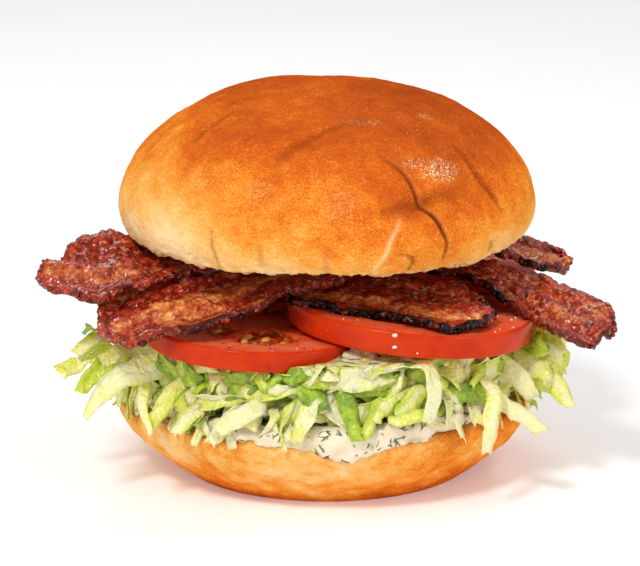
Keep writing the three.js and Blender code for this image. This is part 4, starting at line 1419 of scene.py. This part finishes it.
# The shreds that show at the front and the sides: their middle line, their width along it,
# how green they are, how much their edges ruffle, and their tilt at both ends.
FRONT_SHREDS = [
    ([(-46, -8, 38), (-57, -15, 42), (-66, -20, 43)], (4, 9, 5), 0.85, 0.9, (-0.3, -0.6)),
    ([(-46, -14, 38), (-59, -20, 41), (-68, -25, 37)], (5, 6, 3), 0.3, 0.5, (-0.3, -0.2)),
    ([(-46, -12, 35), (-60, -19, 36.5), (-72, -27, 32)], (4, 5.5, 5), 0.4, 0.6, (-0.2, -0.1)),
    ([(-48, -20, 34), (-60, -29, 34), (-66, -35, 28.5)], (4, 6, 3), 0.6, 0.6, (0, 0.2)),
    ([(-34, -37, 39), (-47, -37, 37), (-58, -38, 32), (-64.5, -41, 23.5)],
     (9, 9, 6, 2), 0.08, 0.3, (0, -0.2)),
    ([(-48, -34, 35), (-49.5, -41, 29), (-46.5, -49, 21.5)], (4, 3.5, 1.5), 0.3, 0.2, (0, 0.3)),
    ([(-37, -39, 35), (-42, -42, 30), (-47, -45, 24)], (5, 5.5, 4), 0.3, 0.3, (0.1, -0.1)),
    ([(-31, -46, 31), (-36, -49, 27), (-40, -50, 22)], (4, 5, 3), 0.25, 0.3, (0, 0.2)),
    ([(-37, -45, 28), (-28, -51, 30.5), (-18, -53, 32.5), (-5, -53, 36)],
     (3, 3.5, 3.5, 3), 0.3, 0.3, (0.2, -0.3)),
    ([(-16, -54, 31), (-23, -56, 28.5), (-29, -56, 24.5)], (5, 5.5, 4), 0.05, 0.2, (0, 0.2)),
    ([(-3, -55, 34), (-6, -58, 29), (-7.5, -61, 23)], (5, 5.5, 3.5), 0.2, 0.3, (0, 0)),
    ([(-17, -48, 40), (-20, -50, 37), (-24, -52, 32)], (5, 8, 6), 0.8, 0.7, (0.2, 0)),
    ([(-31, -42, 39), (-29, -46, 36), (-27, -50, 31)], (4, 4.5, 3), 0.1, 0.2, (0, 0)),
    ([(-48, -22, 36), (-39, -39, 38.5), (-29, -46, 39)], (3.5, 4.5, 3), 0.3, 0.3, (-0.3, 0.2)),
    ([(-6, -52, 39), (-3.5, -55, 35.5), (-2, -57.5, 30)], (6, 8, 6), 0.9, 0.6, (0, 0.2)),
    ([(-2, -52, 37.5), (7, -54.5, 38), (18, -50.5, 38.5)], (5, 7, 4), 0.15, 0.6, (0.4, 0.3)),
    ([(3, -51.5, 35), (11, -53, 36.5), (19, -50, 37)], (4, 6, 4), 0.7, 0.6, (-0.3, -0.2)),
    ([(2, -53, 38), (5, -57, 31.5), (8, -61, 23.5)], (4.5, 5, 3.5), 0.8, 0.4, (-0.2, 0.1)),
    ([(16, -52, 34), (13, -56.5, 29.5), (9, -60.5, 24.5)], (5, 4.5, 3), 0.75, 0.4, (0.2, 0)),
    ([(17, -48, 42), (24.5, -50, 40.5), (27.5, -52.5, 35), (26, -56, 27)],
     (6, 6, 4.5, 4), 0.02, 0.1, (0.2, 0)),
    ([(20, -50, 38), (16, -54.5, 33), (12, -58, 28)], (5, 5.5, 4), 0.35, 0.3, (0.1, 0)),
    ([(25, -50, 35), (21.5, -54, 31.5), (18, -56.5, 28)], (4, 5, 4), 0.4, 0.3, (0, 0.2)),
    ([(29, -42, 39), (33, -45, 37), (36, -44, 33)], (5, 6, 4), 0.2, 0.4, (0, 0)),
    ([(32, -45, 31), (38, -44, 31.5), (45, -40, 28)], (5, 6, 4), 0.8, 0.5, (0.2, -0.1)),
    ([(36, -40, 38), (41, -41.5, 36.5), (38.5, -45, 33)], (4, 5, 3), 0.6, 0.5, (-0.3, 0.2)),
    ([(40, -38, 36), (44, -45, 32), (43.5, -50, 25), (42, -52, 17)],
     (4, 5, 5.5, 4), 0.1, 0.1, (0.1, 0.1)),
    ([(43, -40, 29), (50, -43, 27), (57, -44, 21)], (4, 4.5, 3.5), 0.03, 0.1, (0, 0)),
    ([(50, -22, 34), (59, -26, 30), (65.5, -30, 23.5)], (6, 7, 3), 0.25, 0.4, (0.1, 0)),
    ([(51, -20, 36), (59, -22, 35), (65, -21, 33)], (6, 7, 5), 0.35, 0.6, (0.1, -0.2)),
    ([(48, -18, 40), (54, -23, 40), (58, -27, 37)], (4, 7, 5), 0.7, 0.6, (0, 0)),
    ([(46, -24, 39), (54, -27, 36), (60, -29, 31)], (5, 7, 5), 0.2, 0.5, (0, 0.1)),
    ([(49, -16, 42), (57, -18, 41), (63, -20, 37)], (5, 7, 4), 0.3, 0.6, (0.1, 0)),
    ([(-44, -22, 40), (-53, -27, 39), (-61, -31, 35)], (5, 7, 4), 0.2, 0.5, (0, 0)),
    ([(48, -6, 43), (59, -11, 40), (62, -16, 33), (58, -24, 26)],
     (6, 10, 9, 5), 0.28, 0.9, (0, 0.1)),
    ([(45, -30, 37), (51, -32, 33), (55, -33, 27)], (5, 6, 4), 0.08, 0.3, (0, 0)),
    ([(16, -57, 27.5), (22, -56.5, 27.5), (28, -54, 28.5)], (3, 4, 2), 0.45, 0.4, (0.2, 0.2)),
    ([(50, 4, 38), (59, 0, 40), (64, -8, 34)], (6, 8, 5), 0.5, 0.8, (0, 0.2)),
    ([(48, 18, 36), (57, 20, 36), (60, 14, 29)], (5, 7, 4), 0.3, 0.6, (0, 0.2)),
]


def lettuce_ceiling(points):
    """The highest that lettuce may reach: just under the tomato slices, and less in front."""
    limit = LETTUCE_HIGH - 5.0 * smooth_step(-40, -50, points[..., 1])
    for tomato in TOMATOES.values():
        at = tomato["at"]
        slope = tomato["slope"]
        offset = points - at
        under = at[2] + slope[0] * offset[..., 0] + slope[1] * offset[..., 1] - 0.4
        near = np.hypot(offset[..., 0], offset[..., 1]) < tomato["radius"] + 1.0
        limit = np.where(near, np.minimum(limit, under), limit)
    return limit


def pressed(values, limit):
    """Values that press against a limit, kept to a small share of how far they are past it."""
    return limit + 0.15 * (values - limit)


def keep_clear(points):
    """Keeps lettuce points off the tomatoes, the sauce and the heel, and within the back."""
    ceiling = lettuce_ceiling(points)
    x, y, z = np.moveaxis(points, -1, 0)
    y = np.minimum(y, pressed(y, LETTUCE_BACK))
    z = np.minimum(z, ceiling)
    radial = np.hypot(x + 0.5, y)
    over_sauce = radial < HEEL_RIM_RADIUS - 1.5
    z = np.where(over_sauce & (z < LETTUCE_LOW), pressed(z, LETTUCE_LOW), z)
    floor_radius = heel_radius(np.maximum(z, 0)) + 1.0
    beside = (~over_sauce) & (z < HEEL_CUT_HEIGHT + 1.0) & (radial < floor_radius)
    push = np.where(beside, floor_radius / np.maximum(radial, 1), 1.0)
    return stacked(x * push, y * push, z)


def add_shred(heap, rng, path, widths, green, ruffle, tilt):
    """One wavy strip of leaf. path is its middle line and widths its width along the line."""
    path = np.array(path, float)
    length = lengths_of(np.diff(path, axis=0)).sum()
    rows = int(np.clip(length / SHRED_ROW_LENGTH, *SHRED_ROWS))
    seed = int(rng.integers(1, 9999))
    u = np.linspace(0, 1, rows)
    mm = (u * length)[:, None]
    w = np.linspace(-0.5, 0.5, SHRED_COLUMNS)[None, :]

    def wave(size, offset):
        """Noise along the shred."""
        return line_noise(mm, size, seed + offset)

    wander = np.concatenate([wave(7, 40 + k) for k in range(3)], -1)
    line = along(path, u) + 1.8 * wander * np.sin(np.pi * u)[:, None]
    way = unit(np.gradient(line, axis=0))
    facing = unit(line * (1, 1, 0)) + (0, 0, 0.35)
    facing = unit(facing - np.sum(facing * way, -1, keepdims=True) * way)
    across = np.cross(way, facing)
    angle = along(tilt, u)[:, None] + 0.5 * wave(9, 8)
    turned = np.cos(angle) * across + np.sin(angle) * facing
    facing = np.cos(angle) * facing - np.sin(angle) * across

    width = along(widths, u)[:, None]
    wide_tears = line_noise(mm + 100 * (w > 0), 3.2, seed)
    fine_tears = line_noise(mm + 50 * (w > 0), 1.3, seed + 2)
    offset = w * width * (1 + 0.30 * wide_tears + 0.22 * fine_tears)
    ends = (2 * u[:, None] - 1) ** 5
    fray = ends * (rng.uniform(-0.5, 0.5) * offset + 1.4 * line_noise(5 * w + seed, 1.0, seed + 6))
    crease = rng.uniform(-0.3, 0.3)
    fold = rng.uniform(-0.5, 0.5) * np.abs(w - crease) * width * (1 + 0.5 * wave(6, 1))
    frills = np.sin(mm * rng.uniform(0.9, 1.6) + 2 * np.sign(w) + seed)
    frill = ruffle * (2 * np.abs(w)) ** 1.6 * frills
    flat = stacked(mm, offset, 0.5)
    buckle = (0.7 * noise(flat, (4.5, 2.5, 1), seed + 3)
              + 0.25 * noise(flat, (2.0, 1.4, 1), seed + 4))
    lift = fold + frill + buckle * np.maximum(1, width / 5) + 0.6 * wave(5, 9)
    grid = (line[:, None] + turned[:, None] * offset[..., None] + way[:, None] * fray[..., None]
            + facing[:, None] * lift[..., None])
    rib = 0.6 * rng.random() * np.exp(-(((offset - crease * width) / 0.8) ** 2))
    leafy = green + 0.25 * (2 * np.abs(w) - 0.6) * min(1, ruffle) + 0.25 * wave(7, 5) - rib
    heap.add_sheet(keep_clear(grid), LEAF_THICKNESS * (1 - np.abs(w)) + 0 * mm,
                   green=np.clip(leafy, 0, 1))


def mound_shred(rng, angle):
    """A shred that lies against the side of the heap."""
    outwards = level_way(angle)
    sideways = np.array([-outwards[1], outwards[0], 0])
    up = np.array([0, 0, 1.0])
    distance = LETTUCE_CORE_RADIUS + rng.uniform(-2.5, 4.0) + 4 * math.cos(angle) ** 4
    at = outwards * distance + up * rng.uniform(LETTUCE_LOW + 2, 44)
    heading = rng.choice([-1, 1]) * rng.uniform(0.05, 1.1)
    length = rng.uniform(9, 26)
    reach = 0.5 * length * (math.cos(heading) * sideways - math.sin(heading) * up)
    start = at - reach - outwards * rng.uniform(1, 5)
    end = at + reach - outwards * rng.uniform(-2, 4)
    return [start, at + outwards * rng.uniform(0, 3), end]


def bent_line(turns, distances, heights):
    """Points at angles round the middle, distances from it and heights."""
    return [(r * math.cos(a), r * math.sin(a), z) for a, r, z in zip(turns, distances, heights)]


def hanging_shred(rng, angle):
    """A shred that hangs over the edge of the heel."""
    turns = angle + np.cumsum(rng.normal(0, 0.07, 3))
    distances = 49, 55 + rng.uniform(0, 2.5), rng.uniform(58, 61)
    heights = rng.uniform(30, 37), rng.uniform(26.5, 30), rng.uniform(19, 25)
    return bent_line(turns, distances, heights)


def top_shred(rng, angle):
    """A shred that sticks out from under the tomato slices."""
    turns = angle + np.cumsum(rng.normal(0, 0.1, 3))
    distances = 38, 47 + rng.uniform(0, 3), rng.uniform(51, 58)
    heights = 44, rng.uniform(40, 45), rng.uniform(34, 43)
    return bent_line(turns, distances, heights)


# The kinds of scattered shreds, and how many there are of each.
SCATTERED_SHREDS = ((mound_shred, 560), (hanging_shred, 150), (top_shred, 90))


def make_lettuce_core(material):
    """The heap under the single shreds."""
    angle = ring_angles(CORE_SIDES)
    t = np.linspace(0, 1, CORE_ROWS)[:, None]
    radius = along(CORE_BULGE, t) + LETTUCE_CORE_RADIUS - 2 + 0 * angle
    grid = polar(angle, radius, LETTUCE_LOW + t * (LETTUCE_HIGH - LETTUCE_LOW))
    bump = 1.4 * fractal(grid, 6, 81)
    grid[..., :2] *= (1 + bump / radius)[..., None]
    lid = disc(np.array([0, 0, LETTUCE_HIGH - 0.5]), grid[-1], CORE_LID_ROWS, inwards=True)
    grid = keep_clear(np.concatenate([grid, lid]))
    points = np.concatenate([[(0, 0, LETTUCE_LOW)], grid.reshape(-1, 3), [CORE_TOP]])
    # Painted shade: the heap takes the darkest leaf green, so that the gaps between the shreds read
    # as shaded.
    green = np.clip(0.9 + 0.2 * fractal(points, 6, 83), 0, 1)
    make_mesh("lettuce_core", points, lathe_faces(len(grid), CORE_SIDES), material,
              dict(green=green), node="lettuce", slot="lettuce")


def make_lettuce(material):
    """The heap of lettuce: its core, the shreds that show best and the scattered ones."""
    make_lettuce_core(material)
    rng = np.random.default_rng(5)
    ribs = Heap()
    leaves = Heap()
    for path, widths, green, ruffle, tilt in FRONT_SHREDS:
        # Shreds that stick out sideways turn their flat side to the front.
        sideways = path[-1][0]
        to_front = -math.copysign(1.0, sideways) * float(smooth_step(42, 56, abs(sideways)))
        turned = np.array(tilt) + rng.normal(0, 0.25, 2) + to_front
        heap = leaves if green > LEAFY else ribs
        add_shred(heap, rng, path, 0.95 * np.array(widths), green, ruffle, turned)
    for kind, count in SCATTERED_SHREDS:
        for i in range(count):
            angle = 2 * math.pi * (i * GOLDEN_SHARE % 1)
            over_sauce = SAUCE_SHOWS[0] < math.degrees(angle) - 360 < SAUCE_SHOWS[1]
            if kind is hanging_shred and over_sauce and rng.random() < 0.9:
                continue
            green = rng.choice(GREENS, p=GREEN_SHARES)
            width = rng.uniform(2.0, 5.6)
            widths = (width * rng.uniform(0.3, 1), width, width * rng.uniform(0.2, 0.9))
            ruffle = 0.1 + 0.8 * green * rng.random()
            heap = leaves if green > LEAFY else ribs
            add_shred(heap, rng, kind(rng, angle), widths, green, ruffle, rng.normal(0, 0.5, 2))
    ribs.make("lettuce_rib_shreds", material, slot="lettuce")
    leaves.make("lettuce_leaf_shreds", material, slot="lettuce")


# ---------------------------------------------------------------- seasoning

# Grains of pepper and of fine salt: how many, and the range of their half size.
PEPPER_GRAINS = (44, 0.12, 0.40)
SALT_GRAINS = (16, 0.18, 0.40)

# Two large crystals on the skin of the front right slice: the middle and the half size.
SKIN_SALT = [((17.4, -53.2, 49.5), 0.75), ((17.3, -53.4, 46.6), 0.62)]


def tomato_spot(rng):
    """A random point on the top or the skin of a front slice, and the direction outwards."""
    key = ("front_left", "front_right")[int(rng.integers(0, 2))]
    tomato = TOMATOES[key]
    origin, axes = slice_frame(tomato)
    out = level_way(rng.uniform(-math.pi, 0))
    if rng.random() < 0.85:
        local = rng.uniform(0.70, 0.97) * tomato["radius"] * out
        local[2] = tomato["thickness"]
        outwards = axes @ (0, 0, 1.0)
    else:
        local = out * (tomato["radius"] + 0.1)
        local[2] = rng.uniform(1, tomato["thickness"] - 1)
        outwards = axes @ out
    return local @ axes.T + origin, outwards


def add_grains(heap, rng, count, low, high):
    """Adds small angular grains that lie on the front slices."""
    unit_points, unit_faces = ball(5, 2)
    for _ in range(count):
        at, outwards = tomato_spot(rng)
        size = rng.uniform(low, high)
        shaped = pebble(unit_points, size, 0.6, 1.3, rng)
        heap.add(shaped + at + 0.25 * size * outwards, unit_faces)


def scatter_pepper(material):
    """Ground pepper on the tomato."""
    heap = Heap()
    add_grains(heap, np.random.default_rng(3), *PEPPER_GRAINS)
    heap.make("pepper", material, slot="tomato")


def scatter_salt(material):
    """Fine salt on the tomato, and the large crystals, each of three blocks."""
    rng = np.random.default_rng(4)
    heap = Heap()
    add_grains(heap, rng, *SALT_GRAINS)
    unit_points, unit_faces = ball(6, 3)
    for at, size in SKIN_SALT:
        for _ in range(3):
            shaped = pebble(unit_points, size, 0.6, 1.0, rng)
            heap.add(shaped + np.array(at) + rng.normal(0, 0.2, 3), unit_faces)
    heap.make("salt", material, slot="tomato")


# ---------------------------------------------------------------- the stage

FLOOR_HALF_SIZE = 3.0
WORLD_STRENGTH = 0.42

# The camera looks a little down on the front, from about three quarters of a metre.
CAMERA_PLACE = (-0.0019, -0.760, 0.239)
CAMERA_PITCH = 13.94
CAMERA_LENS = 158.9

# Lights: the name, the place, the height aimed at over the middle and the size in metres, and
# the power in watts.
LIGHTS = [
    ("key", (-0.38, -0.78, 1.00), 0.06, 0.25, 9.0),
    ("fill", (0.95, -0.60, 0.38), 0.05, 0.5, 3.0),
    ("left", (-0.85, -0.75, 0.24), 0.06, 0.5, 1.0),
    ("back", (-0.15, 0.80, 0.90), 0.06, 0.5, 2.4),
    ("side", (0.62, 0.15, 0.95), 0.08, 0.25, 1.6),
]


def make_floor():
    """A wide white floor under the sandwich."""
    s = two_tone("floor", 200, 1, (0.4, FLOOR_GREY), (0.6, FLOOR_WHITE), Roughness=0.9,
                 Specular_IOR_Level=0.1, Emission_Color=(1.0, 1.0, 1.0), Emission_Strength=0.18)
    mesh = bpy.data.meshes.new("floor")
    half = FLOOR_HALF_SIZE
    mesh.from_pydata([(-half, -half, 0), (half, -half, 0), (half, half, 0), (-half, half, 0)],
                     [], [(0, 1, 2, 3)])
    floor = add_object("floor", mesh)
    floor.data.materials.append(s.material)


def make_world():
    """An even white studio."""
    world = bpy.data.worlds.new("studio")
    world.use_nodes = True
    background = world.node_tree.nodes["Background"]
    background.inputs["Color"].default_value = (1.0, 1.0, 1.0, 1)
    background.inputs["Strength"].default_value = WORLD_STRENGTH
    bpy.context.scene.world = world


def add_light(name, place, aim_height, size, power):
    """A round light that faces a point over the middle."""
    light = bpy.data.lights.new(name, "AREA")
    light.shape = "DISK"
    light.size = size
    light.energy = power
    lamp = add_object(name, light)
    x, y, z = np.array((0, 0, aim_height)) - place
    lamp.location = place
    lamp.rotation_euler = (math.atan2(math.hypot(x, y), -z), 0, math.atan2(-x, y))


def make_camera():
    """The camera that sees the sandwich as in the photograph."""
    camera = bpy.data.cameras.new("camera")
    camera.sensor_fit = "HORIZONTAL"
    camera.sensor_width = 36
    camera.lens = CAMERA_LENS
    camera.clip_start = 0.05
    camera.clip_end = 20
    holder = add_object("camera", camera)
    holder.location = CAMERA_PLACE
    holder.rotation_euler = (math.radians(90 - CAMERA_PITCH), 0, 0)
    bpy.context.scene.camera = holder


# ---------------------------------------------------------------- everything together

make_camera()
make_floor()
make_world()
for light_row in LIGHTS:
    add_light(*light_row)
bpy.context.scene.view_settings.view_transform = "Standard"

make_crown(crust_material("crown_crust", CROWN_ROUGHNESS))
make_heel(crust_material("heel_crust", HEEL_ROUGHNESS))
sauce = make_sauce(sauce_material())
scatter_herbs(sauce, herb_material())
make_lettuce(lettuce_material())
tomato_flesh = tomato_material()
seeds = Heap()
for key in TOMATOES:
    make_tomato(key, tomato_flesh, seeds)
seeds.make("tomato_seeds", seed_material(), slot="tomato")
bacon = bacon_material()
for key in STRIPS:
    make_bacon(key, bacon)
scatter_pepper(grain_material("pepper", PEPPER, 0.6))
scatter_salt(grain_material("salt", SALT, 0.25))
